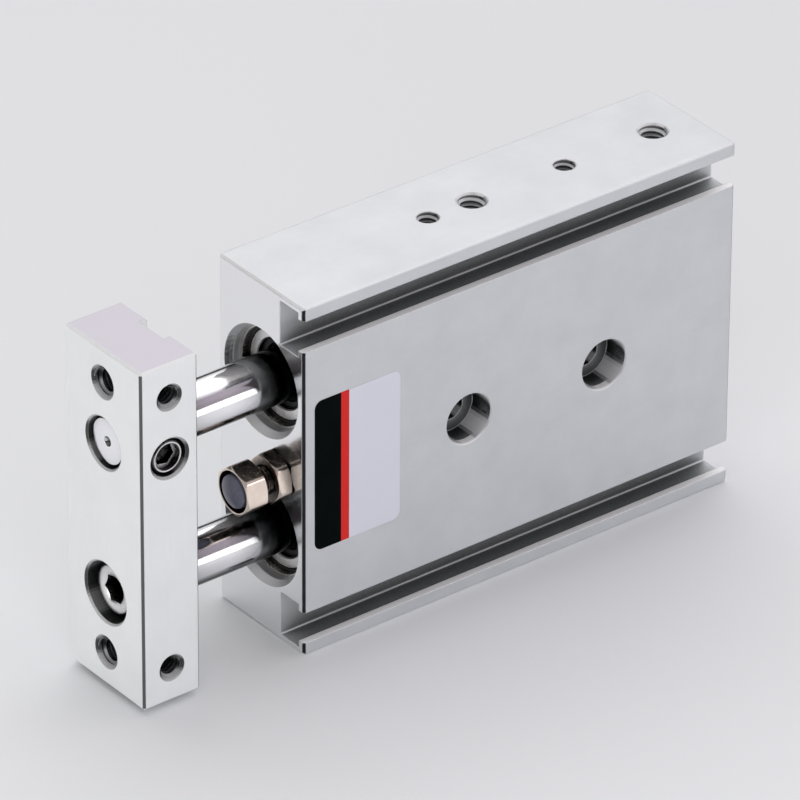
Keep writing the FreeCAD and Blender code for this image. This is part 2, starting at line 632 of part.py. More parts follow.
def make_piston_seal(row):
    """Seal ring with a waisted outside, so that its two lips touch the bore."""
    body = new_body(f"piston_seal_{row}",
                    "Derived.piston_x + Derived.seal_groove_start + Sizes.groove_play", "0",
                    f"Derived.{row}_axis")
    inner = "Sizes.piston_seal_floor / 2 + Sizes.fit_gap"
    outer = "Derived.bore_radius - Sizes.guide_gap"
    width = "Sizes.piston_seal_width"
    waist = f"{outer} - {width} / 5"
    turned(body, f"piston_lips_{row}", [
        ("0", inner), ("0", outer), (f"{width} / 5", outer), (f"{width} * 2 / 5", waist),
        (f"{width} * 3 / 5", waist), (f"{width} * 4 / 5", outer), (width, outer),
        (width, inner),
    ])
    return body


def make_magnet(row):
    body = new_body(f"piston_magnet_{row}",
                    "Derived.piston_x + Derived.magnet_groove_start + Sizes.groove_play", "0",
                    f"Derived.{row}_axis")
    inner = "Sizes.magnet_floor / 2 + Sizes.fit_gap"
    outer = "Derived.bore_radius - Sizes.slide_gap - Sizes.magnet_depth"
    width = "Sizes.magnet_width"
    turned(body, f"magnet_{row}", [("0", inner), ("0", outer), (width, outer), (width, inner)])
    return body


def make_bumper_ring(row, end):
    """Rubber ring round a piston's boss, which lands on the cover at the end of the stroke."""
    start = {"front": "Derived.piston_x - Sizes.bumper_ring_length",
             "rear": "Derived.piston_x + Derived.land_length"}[end]
    body = new_body(f"bumper_ring_{end}_{row}", start, "0", f"Derived.{row}_axis")
    inner = "Sizes.boss_diameter / 2 + Sizes.fit_gap"
    outer = "Sizes.bumper_ring_diameter / 2"
    length = "Sizes.bumper_ring_length"
    chamfer = "Sizes.cover_chamfer"
    turned(body, f"bumper_{end}_{row}", [
        ("0", inner), ("0", f"{outer} - {chamfer}"), (chamfer, outer),
        (f"{length} - {chamfer}", outer), (length, f"{outer} - {chamfer}"), (length, inner),
    ])
    return body


# Rods: each body's own X starts at the plate's back face

ROD_SHOULDER = "Derived.piston_x - Sizes.boss_length - Derived.plate_x"
ROD_END = f"{ROD_SHOULDER} + 2 * Sizes.boss_length + Derived.land_length"


def rod_tail():
    """The piston end of a rod's outline: shaft, shoulder and spigot."""
    spigot = "Sizes.spigot_diameter / 2"
    chamfer = "Sizes.cover_chamfer"
    return [
        (f"{ROD_SHOULDER} - {chamfer}", "Derived.rod_radius"),
        (ROD_SHOULDER, f"Derived.rod_radius - {chamfer}"), (ROD_SHOULDER, spigot),
        (f"{ROD_END} - {chamfer}", spigot), (ROD_END, f"{spigot} - {chamfer}"), (ROD_END, "0"),
    ]


def mark_rod(body, row):
    ring_groove(body, f"rod_mark_{row}", "Sizes.rod_mark_setback", "Sizes.rod_mark_width",
                "Derived.rod_radius - Sizes.rod_mark_depth",
                "Derived.rod_radius + Sizes.rod_mark_depth")


def make_upper_rod():
    """Goes right through the plate, and has the lathe's centre in its end."""
    body = new_body("piston_rod_upper", "Derived.plate_x", "0", "Derived.upper_axis")
    front = "Sizes.rod_recess - Sizes.plate_thickness"
    centre = "Sizes.centre_diameter / 2"
    turned(body, "rod_upper", [
        (f"{front} + {centre}", "0"), (front, centre),
        (front, "Derived.rod_radius - Sizes.rod_chamfer"),
        (f"{front} + Sizes.rod_chamfer", "Derived.rod_radius"), *rod_tail(),
    ])
    mark_rod(body, "upper")
    return body


def make_lower_rod():
    """Ends in a tongue that lies in the plate's channel, and is tapped for the cap screw."""
    body = new_body("piston_rod_lower", "Derived.plate_x", "0", "Derived.lower_axis")
    tongue = "-Sizes.channel_depth + Sizes.fit_gap"
    screw = "Sizes.spigot_diameter / 2 + Sizes.fit_gap"
    screw_end = "Sizes.cap_shank_length + Sizes.cap_head_length + Sizes.cap_head_recess" \
                " - Sizes.plate_thickness + Sizes.rod_chamfer"
    turned(body, "rod_lower", [
        (tongue, screw), (tongue, "Derived.rod_radius"), *rod_tail(),
        (f"{screw_end} + {screw} * tan(30 deg)", "0"), (screw_end, screw),
    ])
    flats = new_sketch(body, "tongue_flats", "YZ_Plane", offset=tongue)
    inner = "Sizes.channel_width / 2 - Sizes.slide_gap"
    outer = "Sizes.rod_diameter"
    for low, high in ((inner, outer), (f"-{outer}", f"-({inner})")):
        rectangle(flats, low, high, f"-{outer}", outer)
    extrude(body, "Pocket", flats, "Sizes.channel_depth - Sizes.fit_gap", towards="normal")
    mark_rod(body, "lower")
    return body


# Plate and its screws

def make_plate():
    body = new_body("plate", "Derived.plate_x", "0", "Derived.middle_height")
    half_width = "Sizes.plate_width / 2"
    half_height = "Sizes.plate_height / 2"
    block = new_sketch(body, "plate_block", "YZ_Plane")
    rectangle(block, f"-{half_width}", half_width, f"-{half_height}", half_height)
    extrude(body, "Pad", block, "Sizes.plate_thickness", towards="inside")
    dress(body, "Chamfer", "plate_rims", "Sizes.plate_break", lambda edge: True)

    channel = new_sketch(body, "channel", "XY_Plane", offset=half_height)
    half_channel = "Sizes.channel_width / 2"
    rectangle(channel, "-Sizes.channel_depth", "Sizes.channel_depth",
              f"-{half_channel}", half_channel)
    extrude(body, "Pocket", channel, "through", towards="inside")

    front = "-Sizes.plate_thickness"
    taps = new_sketch(body, "front_taps", "YZ_Plane", offset=front)
    for up in ("Sizes.plate_hole_pitch / 2", "-Sizes.plate_hole_pitch / 2"):
        disc(taps, "0", up, "Sizes.front_tap_drill")
    drill(body, taps, "Sizes.front_tap_drill", "through", "normal", mouth="Sizes.front_tap_mouth")

    for face, offset, towards in (
            ("near", half_width, "inside"), ("far", f"-{half_width}", "normal")):
        taps = new_sketch(body, f"edge_taps_{face}", "XZ_Plane", offset=offset)
        for up in ("Sizes.plate_hole_pitch / 2", "-Sizes.plate_hole_pitch / 2"):
            disc(taps, "-Sizes.plate_thickness / 2", up, "Sizes.edge_tap_drill")
        drill(body, taps, "Sizes.edge_tap_drill", "Sizes.edge_tap_depth", towards,
              mouth="Sizes.edge_tap_mouth")

    rod_bore = "Sizes.rod_diameter + 2 * Sizes.fit_gap"
    bore = new_sketch(body, "rod_bore", "YZ_Plane", offset=front)
    disc(bore, "0", "Sizes.rod_pitch / 2", rod_bore)
    drill(body, bore, rod_bore, "through", "normal", mouth="Sizes.rod_bore_mouth")

    set_bore = "Sizes.set_screw_diameter + 2 * Sizes.fit_gap"
    set_hole = new_sketch(body, "set_screw_hole", "XZ_Plane", offset=half_width)
    disc(set_hole, "-Sizes.plate_thickness / 2", "Sizes.rod_pitch / 2", set_bore)
    drill(body, set_hole, set_bore, half_width, "inside", mouth="Sizes.set_screw_mouth", flat=True)

    cap_hole = new_sketch(body, "cap_screw_hole", "YZ_Plane", offset=front)
    disc(cap_hole, "0", "-Sizes.rod_pitch / 2", "Sizes.cap_clearance_drill")
    extrude(body, "Pocket", cap_hole, "through", towards="normal")
    cap_seat = new_sketch(body, "cap_screw_seat", "YZ_Plane", offset=front)
    disc(cap_seat, "0", "-Sizes.rod_pitch / 2", "Sizes.cap_counterbore")
    extrude(body, "Pocket", cap_seat, "Sizes.cap_head_recess + Sizes.cap_head_length",
            towards="normal")

    def seat_rim(edge):
        radius = getattr(edge.Curve, "Radius", 0)
        at_front = on_plane(edge, "X", -sizes.plate_thickness)
        return at_front and abs(radius - sizes.cap_counterbore / 2) < 1e-4

    dress(body, "Chamfer", "cap_seat_rim", "Sizes.cap_counterbore_break", seat_rim)
    return body


def make_cap_screw():
    """Socket head cap screw: its own X starts at the top of the head."""
    body = new_body("plate_cap_screw",
                    "Derived.plate_x - Sizes.plate_thickness + Sizes.cap_head_recess", "0",
                    "Derived.lower_axis")
    head = "Sizes.cap_head_diameter / 2"
    shank = "Sizes.spigot_diameter / 2"
    chamfer = "Sizes.rod_chamfer"
    under_head = "Sizes.cap_head_length"
    end = f"{under_head} + Sizes.cap_shank_length"
    turned(body, "cap_screw", [
        ("0", "0"), ("0", f"{head} - {chamfer}"), (chamfer, head), (under_head, head),
        (under_head, shank), (f"{end} - {chamfer}", shank), (end, f"{shank} - {chamfer}"),
        (end, "0"),
    ])
    socket = new_sketch(body, "cap_socket", "YZ_Plane")
    hexagon(socket, "Sizes.cap_socket")
    extrude(body, "Pocket", socket, "Sizes.cap_socket_depth", towards="normal")
    return body


def make_set_screw():
    """Cup point set screw: its own X runs from the socket to the point, along +Y."""
    body = new_body("plate_set_screw", "Derived.plate_x - Sizes.plate_thickness / 2",
                    "-Sizes.plate_width / 2 + Sizes.set_screw_recess", "Derived.upper_axis")
    body.Placement.Rotation = FreeCAD.Rotation(FreeCAD.Vector(0, 0, 1), 90)
    radius = "Sizes.set_screw_diameter / 2"
    cup = "Sizes.set_cup_diameter / 2"
    chamfer = "Sizes.rod_chamfer"
    length = "Sizes.plate_width / 2 - Sizes.set_screw_recess - Derived.rod_radius - Sizes.fit_gap"
    turned(body, "set_screw", [
        ("0", "0"), ("0", f"{radius} - {chamfer}"), (chamfer, radius),
        (f"{length} - ({radius} - {cup})", radius), (length, cup),
        (f"{length} - {cup} / 2", "0"),
    ])
    socket = new_sketch(body, "set_socket", "YZ_Plane")
    hexagon(socket, "Sizes.set_socket")
    extrude(body, "Pocket", socket, "Sizes.set_socket_depth", towards="normal")
    return body


# Stroke adjuster: bumper bolt, its cushion and the lock nut

def chamfer_hexagon(body, name, face, inwards):
    """Turns the corners of a hexagon down at one face; inwards is the way into the piece."""
    inner = "Sizes.bolt_flats / 2"
    slope = "tan(30 deg)"
    corner = f"{inner} / cos(30 deg)"
    rim = f"{corner} - Sizes.hexagon_chamfer / {slope}"
    outer = f"{corner} + {inner}"
    sketch = new_sketch(body, name, "XZ_Plane")
    outline(sketch, [
        (face, rim), (face, outer),
        (f"{face} {inwards} (Sizes.hexagon_chamfer + {inner} * {slope})", outer),
    ])
    return revolve(body, "Groove", sketch)


def make_bumper_bolt():
    body = new_body("bumper_bolt", "Derived.bolt_head_x", "-Sizes.bolt_side_offset",
                    "Derived.bolt_height", turn=sizes.bolt_head_turn)
    head = new_sketch(body, "bolt_head", "YZ_Plane")
    hexagon(head, "Sizes.bolt_flats")
    extrude(body, "Pad", head, "Sizes.bolt_head_length", towards="inside")
    chamfer_hexagon(body, "head_chamfer", "-Sizes.bolt_head_length", "+")
    shank = new_sketch(body, "bolt_shank", "YZ_Plane")
    disc(shank, "0", "0", "Sizes.bolt_diameter")
    extrude(body, "Pad", shank, "Sizes.bolt_shank_length")
    dress(body, "Chamfer", "bolt_point", "Sizes.cover_chamfer",
          lambda edge: on_plane(edge, "X", sizes.bolt_shank_length))
    face = "-Sizes.bolt_head_length"
    recess = new_sketch(body, "cushion_recess", "YZ_Plane", offset=face)
    disc(recess, "0", "0", "Sizes.cushion_recess_diameter")
    extrude(body, "Pocket", recess, "Sizes.cushion_recess_depth", towards="normal")
    stem = new_sketch(body, "stem_hole", "YZ_Plane", offset=face)
    disc(stem, "0", "0", "Sizes.cushion_stem_diameter + 2 * Sizes.fit_gap")
    extrude(body, "Pocket", stem, "Sizes.cushion_recess_depth + Sizes.cushion_stem_length",
            towards="normal")
    return body


def make_bumper_cushion():
    """A disc with a stem behind it and a shallow dome in front, cut by a large ball."""
    floor = "Derived.bumper_x + Sizes.cushion_dome + Sizes.cushion_recess_depth"
    along_x = FreeCAD.Rotation(FreeCAD.Vector(0, 1, 0), 90)

    def place(piece, across):
        piece.Placement.Rotation = along_x
        piece.setExpression("Placement.Base.x", across)
        piece.setExpression("Placement.Base.y", "-Sizes.bolt_side_offset")
        piece.setExpression("Placement.Base.z", "Derived.bolt_height")

    disc_piece = doc.addObject("Part::Cylinder", "cushion_disc")
    disc_piece.setExpression("Radius", "Sizes.cushion_diameter / 2")
    disc_piece.setExpression("Height", "Sizes.cushion_dome + Sizes.cushion_recess_depth")
    place(disc_piece, "Derived.bumper_x")
    ball = doc.addObject("Part::Sphere", "cushion_ball")
    ball.setExpression("Radius", "Derived.cushion_radius")
    place(ball, "Derived.bumper_x + Derived.cushion_radius")
    dome = doc.addObject("Part::Common", "cushion_domed_disc")
    dome.Base = disc_piece
    dome.Tool = ball
    stem = doc.addObject("Part::Cylinder", "cushion_stem")
    stem.setExpression("Radius", "Sizes.cushion_stem_diameter / 2")
    stem.setExpression("Height", "Sizes.cushion_stem_length")
    place(stem, floor)
    cushion = doc.addObject("Part::Fuse", "bumper_cushion")
    cushion.Base = dome
    cushion.Tool = stem
    doc.recompute()
    return cushion


def make_lock_nut():
    body = new_body("lock_nut", "Derived.front_x", "-Sizes.bolt_side_offset",
                    "Derived.bolt_height", turn=sizes.nut_turn)
    nut = new_sketch(body, "nut", "YZ_Plane")
    hexagon(nut, "Sizes.bolt_flats")
    disc(nut, "0", "0", "Sizes.bolt_diameter + 2 * Sizes.thread_gap")
    extrude(body, "Pad", nut, "Sizes.nut_thickness", towards="inside")
    chamfer_hexagon(body, "nut_front_chamfer", "-Sizes.nut_thickness", "+")
    chamfer_hexagon(body, "nut_back_chamfer", "0", "-")
    return body


# The whole part

FRONT_GAP_TURN = 125
REAR_GAP_TURN = 0

parts = [make_housing(), make_plate(), make_upper_rod(), make_lower_rod()]
for row in ("upper", "lower"):
    axis = f"Derived.{row}_axis"
    groove_middle = "Derived.o_ring_groove_width / 2"
    cover_ring_x = f"Derived.front_x + Derived.cover_front_depth + Sizes.o_ring_setback" \
                   f" + {groove_middle}"
    head_ring_x = "Derived.front_x + Derived.head_cover_depth + Sizes.head_cover_length / 2"
    rear_ring_x = "Derived.rear_x - Sizes.rear_ring_depth - Sizes.ring_thickness"
    parts += [
        make_rod_cover(row),
        make_o_ring(f"cover_o_ring_{row}", cover_ring_x, axis, "Derived.o_ring_radius"),
        make_rod_seal(row),
        make_seal_retainer(row),
        make_retaining_ring(f"front_retaining_ring_{row}",
                            "Derived.front_x + Sizes.front_ring_depth", axis,
                            "Sizes.front_ring_bore / 2",
                            "Sizes.front_groove_diameter / 2 - Sizes.fit_gap", FRONT_GAP_TURN),
        make_head_cover(row),
        make_o_ring(f"head_o_ring_{row}", head_ring_x, axis, "Derived.head_o_ring_radius"),
        make_retaining_ring(f"rear_retaining_ring_{row}", rear_ring_x, axis,
                            "Sizes.rear_ring_bore / 2",
                            "Sizes.rear_groove_diameter / 2 - Sizes.fit_gap", REAR_GAP_TURN),
        make_piston(row),
        make_piston_seal(row),
        make_magnet(row),
        make_bumper_ring(row, "front"),
        make_bumper_ring(row, "rear"),
    ]
parts += [
    make_cap_screw(), make_set_screw(), make_bumper_bolt(), make_bumper_cushion(), make_lock_nut(),
]
doc.recompute()

for item in doc.Objects:
    if "Invalid" in item.State or "Error" in item.State:
        raise RuntimeError(f"{item.Label} could not be built: {item.State}")
for piece in parts:
    if piece.Shape.isNull() or not piece.Shape.isValid() or len(piece.Shape.Solids) != 1:
        raise RuntimeError(f"{piece.Label} is not one valid solid")

os.makedirs("parts", exist_ok=True)
for piece in parts:
    piece.Shape.exportStep(f"parts/{piece.Label}.step")
print(f"{len(parts)} pieces, housing {derived.housing_length:g} mm long")
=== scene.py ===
import bmesh
import bpy
import json
import math
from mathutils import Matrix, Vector


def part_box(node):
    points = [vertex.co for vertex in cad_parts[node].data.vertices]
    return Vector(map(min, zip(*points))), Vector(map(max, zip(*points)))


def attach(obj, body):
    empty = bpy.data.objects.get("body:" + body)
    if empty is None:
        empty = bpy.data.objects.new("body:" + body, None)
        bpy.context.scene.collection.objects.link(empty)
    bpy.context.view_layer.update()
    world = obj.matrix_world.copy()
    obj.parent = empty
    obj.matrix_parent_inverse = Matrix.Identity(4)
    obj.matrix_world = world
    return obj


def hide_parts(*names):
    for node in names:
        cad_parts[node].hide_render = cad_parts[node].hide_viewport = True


# Guided pneumatic cylinder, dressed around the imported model. Everything is in metres.
# +X runs from the end plate to the housing, the sensor slots face -Y, the air ports face +Z.

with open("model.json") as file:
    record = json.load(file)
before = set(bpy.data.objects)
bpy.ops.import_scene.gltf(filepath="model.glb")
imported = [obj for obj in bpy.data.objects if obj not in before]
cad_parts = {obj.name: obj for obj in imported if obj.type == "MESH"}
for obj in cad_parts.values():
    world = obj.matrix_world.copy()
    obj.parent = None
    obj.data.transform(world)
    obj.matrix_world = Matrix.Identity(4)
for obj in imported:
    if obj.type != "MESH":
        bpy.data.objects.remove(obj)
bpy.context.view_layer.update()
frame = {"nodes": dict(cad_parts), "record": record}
nodes = frame["nodes"]
mounts = {mount["name"]: mount for mount in frame["record"]["mounts"]}
mm = 0.001


def boxOf(nodeName):
    low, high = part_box(nodeName)
    return Vector(low), Vector(high)


def middleOf(nodeName):
    low, high = boxOf(nodeName)
    return (low + high) / 2


housingLow, housingHigh = boxOf("housing")
plateLow, plateHigh = boxOf("plate")
print("frame loaded,", len(nodes), "nodes")


# Node tools. A socket value is a number, a colour, a vector or another node's output.

def addNode(tree, kind, inputs=(), **settings):
    node = tree.nodes.new("ShaderNode" + kind)
    for key, value in settings.items():
        setattr(node, key, value)
    for key, value in dict(inputs).items():
        if isinstance(value, bpy.types.NodeSocket):
            tree.links.new(value, node.inputs[key])
        else:
            node.inputs[key].default_value = value
    return node


def useGroup(tree, group, inputs=()):
    return addNode(tree, "Group", inputs, node_tree=group).outputs


def maths(tree, operation, first, second=0.0):
    return addNode(tree, "Math", {0: first, 1: second}, operation=operation).outputs[0]


def remap(tree, value, fromLow, fromHigh, toLow=0.0, toHigh=1.0):
    inputs = {"Value": value, "From Min": fromLow, "From Max": fromHigh, "To Min": toLow, "To Max": toHigh}
    return addNode(tree, "MapRange", inputs).outputs["Result"]


def mixColour(tree, factor, first, second):
    inputs = {0: factor, 6: first, 7: second}
    return addNode(tree, "Mix", inputs, data_type="RGBA").outputs[2]


def newGroup(name, inputs, outputs):
    group = bpy.data.node_groups.new(name, "ShaderNodeTree")
    for socketName, kind, value in inputs:
        socket = group.interface.new_socket(socketName, in_out="INPUT", socket_type="NodeSocket" + kind)
        socket.default_value = value
    for socketName, kind in outputs:
        group.interface.new_socket(socketName, in_out="OUTPUT", socket_type="NodeSocket" + kind)
    return group, group.nodes.new("NodeGroupInput").outputs, group.nodes.new("NodeGroupOutput").inputs


# From which value to which each mask rises

maskSpans = {
    "noise": (0.3, 0.7), "smudge": (0.42, 0.68), "pits": (0.0, 0.35),
    "edge": (0.99, 0.80), "slanted": (0.40, 0.48), "leaning": (0.30, 0.44), "facing": (0.90, 0.97),
}


# Long fine lines, as a drawn profile or a brushed face has: Stretch is how often they repeat
# along X, Y and Z in lines per metre

def makeGrainGroup():
    group, given, put = newGroup(
        "drawnGrain",
        [("Stretch", "Vector", (60, 9000, 9000)), ("Mottle", "Float", 180.0)],
        [("Lines", "Float"), ("Cloud", "Float")])
    place = addNode(group, "TexCoord").outputs["Object"]
    stretched = {0: place, 1: given["Stretch"]}
    lineSpace = addNode(group, "VectorMath", stretched, operation="MULTIPLY").outputs[0]
    lines = addNode(group, "TexNoise", {"Vector": lineSpace, "Scale": 1.0, "Detail": 3.0, "Roughness": 0.6})
    cloud = addNode(group, "TexNoise", {"Vector": place, "Scale": given["Mottle"], "Detail": 4.0,
                                        "Roughness": 0.55})
    group.links.new(remap(group, lines.outputs[0], *maskSpans["noise"]), put["Lines"])
    group.links.new(remap(group, cloud.outputs[0], *maskSpans["noise"]), put["Cloud"])
    return group


# Fine rings around a turned piece's own middle, in rings per piece

def makeTurnedGroup():
    group, given, put = newGroup("turnedGrain", [("Rings", "Float", 60.0)], [("Lines", "Float")])
    place = addNode(group, "TexCoord").outputs["Generated"]
    middle = addNode(group, "VectorMath", {0: place, 1: (0.5, 0.5, 0.5)}, operation="SUBTRACT").outputs[0]
    across = addNode(group, "VectorMath", {0: middle, 1: (0, 1, 1)}, operation="MULTIPLY").outputs[0]
    radius = addNode(group, "VectorMath", {0: across}, operation="LENGTH").outputs["Value"]
    ways = addNode(group, "CombineXYZ", {0: maths(group, "MULTIPLY", radius, given["Rings"])}).outputs[0]
    lines = addNode(group, "TexNoise", {"Vector": ways, "Scale": 1.0, "Detail": 2.0, "Roughness": 0.6})
    group.links.new(remap(group, lines.outputs[0], *maskSpans["noise"]), put["Lines"])
    return group


# Rounded normals along the edges, and a mask of where they are

def makeEdgeGroup():
    group, given, put = newGroup(
        "softEdge", [("Radius", "Float", 0.15 * mm)], [("Normal", "Vector"), ("Edge", "Float")])
    rounded = addNode(group, "Bevel", {"Radius": given["Radius"]}, samples=6).outputs[0]
    flat = addNode(group, "NewGeometry").outputs["Normal"]
    agreement = addNode(group, "VectorMath", {0: rounded, 1: flat}, operation="DOT_PRODUCT").outputs["Value"]
    group.links.new(rounded, put["Normal"])
    group.links.new(remap(group, agreement, *maskSpans["edge"]), put["Edge"])
    return group


# Which way a face looks, as masks that stay with the object; the anodised look paints light and shade
# by them. Chamfers between an end face and a side face count only beyond Chamfer From along X. Below
# Lip Top, a face that looks up is a lip beyond Lip From along Y and the floor of a hollow before it.
# Behind is all that lies past Free From along X, where shallow hollows get no painted shade and stay
# as light as an open face.

def makeFacingGroup():
    group, given, put = newGroup(
        "faceWay",
        [("Chamfer From", "Float", 0.0), ("Lip From", "Float", 1.0), ("Lip Top", "Float", 0.0),
         ("Free From", "Float", 1.0)],
        [("Ends", "Float"), ("Chamfer", "Float"), ("Fillet", "Float"), ("Lip", "Float"), ("Floor", "Float"),
         ("Behind", "Float")])
    normal = addNode(group, "NewGeometry").outputs["True Normal"]
    parts = addNode(group, "SeparateXYZ", {0: normal}).outputs
    across, side, up = (maths(group, "ABSOLUTE", part) for part in parts)
    place = addNode(group, "SeparateXYZ", {0: addNode(group, "TexCoord").outputs["Object"]}).outputs
    far = maths(group, "GREATER_THAN", maths(group, "ABSOLUTE", place["X"]), given["Chamfer From"])
    slanted = remap(group, maths(group, "MULTIPLY", across, side), *maskSpans["slanted"])
    outer = maths(group, "GREATER_THAN", maths(group, "ABSOLUTE", place["Y"]), given["Lip From"])
    under = maths(group, "LESS_THAN", place["Z"], given["Lip Top"])
    group.links.new(remap(group, across, *maskSpans["facing"]), put["Ends"])
    group.links.new(maths(group, "MULTIPLY", slanted, far), put["Chamfer"])
    leaning = maths(group, "MULTIPLY", maths(group, "MAXIMUM", side, across), up)
    group.links.new(remap(group, leaning, *maskSpans["leaning"]), put["Fillet"])
    lookingUp = maths(group, "MULTIPLY", remap(group, parts["Z"], *maskSpans["facing"]), under)
    group.links.new(maths(group, "MULTIPLY", lookingUp, outer), put["Lip"])
    group.links.new(maths(group, "MULTIPLY", lookingUp, maths(group, "SUBTRACT", 1.0, outer)), put["Floor"])
    group.links.new(maths(group, "GREATER_THAN", place["X"], given["Free From"]), put["Behind"])
    return group


# Smudges as every used surface has, and tiny pits for rubber and film

def makeWearGroup():
    group, given, put = newGroup(
        "handling", [("Smudge Scale", "Float", 90.0), ("Pit Scale", "Float", 3500.0)],
        [("Smudge", "Float"), ("Pits", "Float")])
    place = addNode(group, "TexCoord").outputs["Object"]
    smudge = addNode(group, "TexNoise", {"Vector": place, "Scale": given["Smudge Scale"], "Detail": 5.0,
                                         "Roughness": 0.62, "Distortion": 0.4})
    pits = addNode(group, "TexVoronoi", {"Vector": place, "Scale": given["Pit Scale"]})
    group.links.new(remap(group, smudge.outputs[0], *maskSpans["smudge"]), put["Smudge"])
    group.links.new(remap(group, pits.outputs["Distance"], *maskSpans["pits"]), put["Pits"])
    return group


# Where the surface is closed in, found by ambient occlusion: in holes, bores and slots, and beside
# other pieces unless only the piece itself counts. The looks paint shade into the colour by this mask.
# Below Closed it is fully closed in, above Clear it is free.

def makeCavityGroup(name, itself):
    group, given, put = newGroup(
        name, [("Reach", "Float", 5 * mm), ("Closed", "Float", 0.35), ("Clear", "Float", 0.92)],
        [("Open", "Float")])
    nearby = addNode(group, "AmbientOcclusion", {"Distance": given["Reach"]}, samples=8, only_local=itself)
    group.links.new(remap(group, nearby.outputs["AO"], given["Closed"], given["Clear"]), put["Open"])
    return group


drawnGrain = makeGrainGroup()
turnedGrain = makeTurnedGroup()
softEdge = makeEdgeGroup()
faceWay = makeFacingGroup()
handling = makeWearGroup()
cavity = makeCavityGroup("cavity", True)
neighbours = makeCavityGroup("neighbours", False)


def newMaterial(name, **fixed):
    material = bpy.data.materials.new(name)
    material.use_nodes = True
    tree = material.node_tree
    shader = tree.nodes["Principled BSDF"]
    for socketName, value in fixed.items():
        shader.inputs[socketName].default_value = value
    return material, tree, shader.inputs


def bump(tree, height, strength, depth, normal):
    inputs = {"Height": height, "Strength": strength, "Distance": depth, "Normal": normal}
    return addNode(tree, "Bump", inputs).outputs[0]


# Clear anodised aluminium: housing, plate and the threads cut in them. Light and shade are painted into
# its colour: painted shade in hollows, painted highlights on end faces, fillets and edges, painted light
# on faces that look up, and a painted dark reflection on chamfers. Fillets and lips are less metallic
# than the rest. The floor of a hollow gets painted shade by floorShade where it is closed in, and by
# floorShare of that where it is free.

anodisedLook = {
    "bright": (0.695, 0.715, 0.73, 1),
    "shaded": (0.615, 0.635, 0.65, 1),
    # the edge colour is the colour of the painted highlights on edges, fillets and end faces
    "edge": (0.93, 0.93, 0.94, 1),
    "chamferDarkReflection": (0.012, 0.013, 0.014, 1), "chamferShade": 1.0, "chamferFrom": housingHigh.x - 1 * mm,
    "inside": (0.025, 0.030, 0.028, 1), "insideReach": 8 * mm, "closure": (0.30, 0.56), "alone": True,
    "metal": 0.62, "endMetal": 1.0,
    "roughness": (0.42, 0.54), "endRoughness": (0.12, 0.20),
    "edgeRadius": 0.24 * mm, "edgeHighlight": 0.85, "filletHighlight": 0.75, "endHighlight": 0.85,
    "lipFrom": housingHigh.y - 1.3 * mm, "lipTop": housingHigh.z - 1 * mm,
    "lipPaintedLight": 1.0, "lipPaintedLightClosedIn": 1.0, "lipPaintedColour": (0.98, 0.98, 0.98, 1),
    "lipMetal": 0.3, "floorShade": 0.65, "floorFrom": 0.2, "floorShare": 0.25, "freeFrom": 1.0,
    "grainDepth": 0.004 * mm, "grainStrength": 0.35, "lineShare": 0.4, "stretch": (70, 5200, 5200),
    "mottle": 160.0, "smudge": 0.04,
}
channelFloor = boxOf("piston_rod_lower")[0].x - 0.05 * mm  # the lower rod ends on it
# On the plate every face that looks up takes the lip colour, a painted lilac reflection of the sky
plateLook = dict(
    anodisedLook, bright=(0.93, 0.955, 0.955, 1), shaded=(0.87, 0.89, 0.89, 1),
    metal=0.28, endMetal=0.20, endRoughness=(0.42, 0.54), stretch=(5200, 5200, 90),
    inside=(0.010, 0.012, 0.012, 1), insideReach=10 * mm, closure=(0.72, 0.985),
    edgeRadius=0.16 * mm, edgeHighlight=0.6, filletHighlight=0.2, endHighlight=0.0, chamferShade=0.9,
    lipFrom=0.0, lipTop=1.0, lipPaintedLight=0.85, lipPaintedLightClosedIn=0.0, lipPaintedColour=(0.61, 0.58, 0.645, 1),
    floorShade=0.0, freeFrom=channelFloor)
threadLook = dict(
    anodisedLook, inside=(0.008, 0.010, 0.010, 1), insideReach=3 * mm, closure=(0.15, 0.70), alone=False,
    edgeRadius=0.05 * mm, edgeHighlight=0.6, filletHighlight=0.0, lipPaintedLight=0.0, lipPaintedLightClosedIn=0.0, floorShade=0.0,
    endHighlight=0.0, endMetal=0.62, endRoughness=(0.30, 0.42))
plateThreadLook = dict(threadLook, insideReach=8 * mm, closure=(0.35, 1.0))


# Ambient-occlusion mask for a look's painted shade: 0 where closed in, 1 where free
def useCavity(tree, settings):
    closed, clear = settings["closure"]
    group = cavity if settings["alone"] else neighbours
    return useGroup(tree, group, {"Reach": settings["insideReach"], "Closed": closed, "Clear": clear})["Open"]


# How light the surface is, from the fine lines and the mottling under them

def mixTone(tree, lines, cloud, lineShare):
    lineTone = maths(tree, "MULTIPLY", lines, lineShare)
    return maths(tree, "ADD", lineTone, maths(tree, "MULTIPLY", cloud, 1 - lineShare))


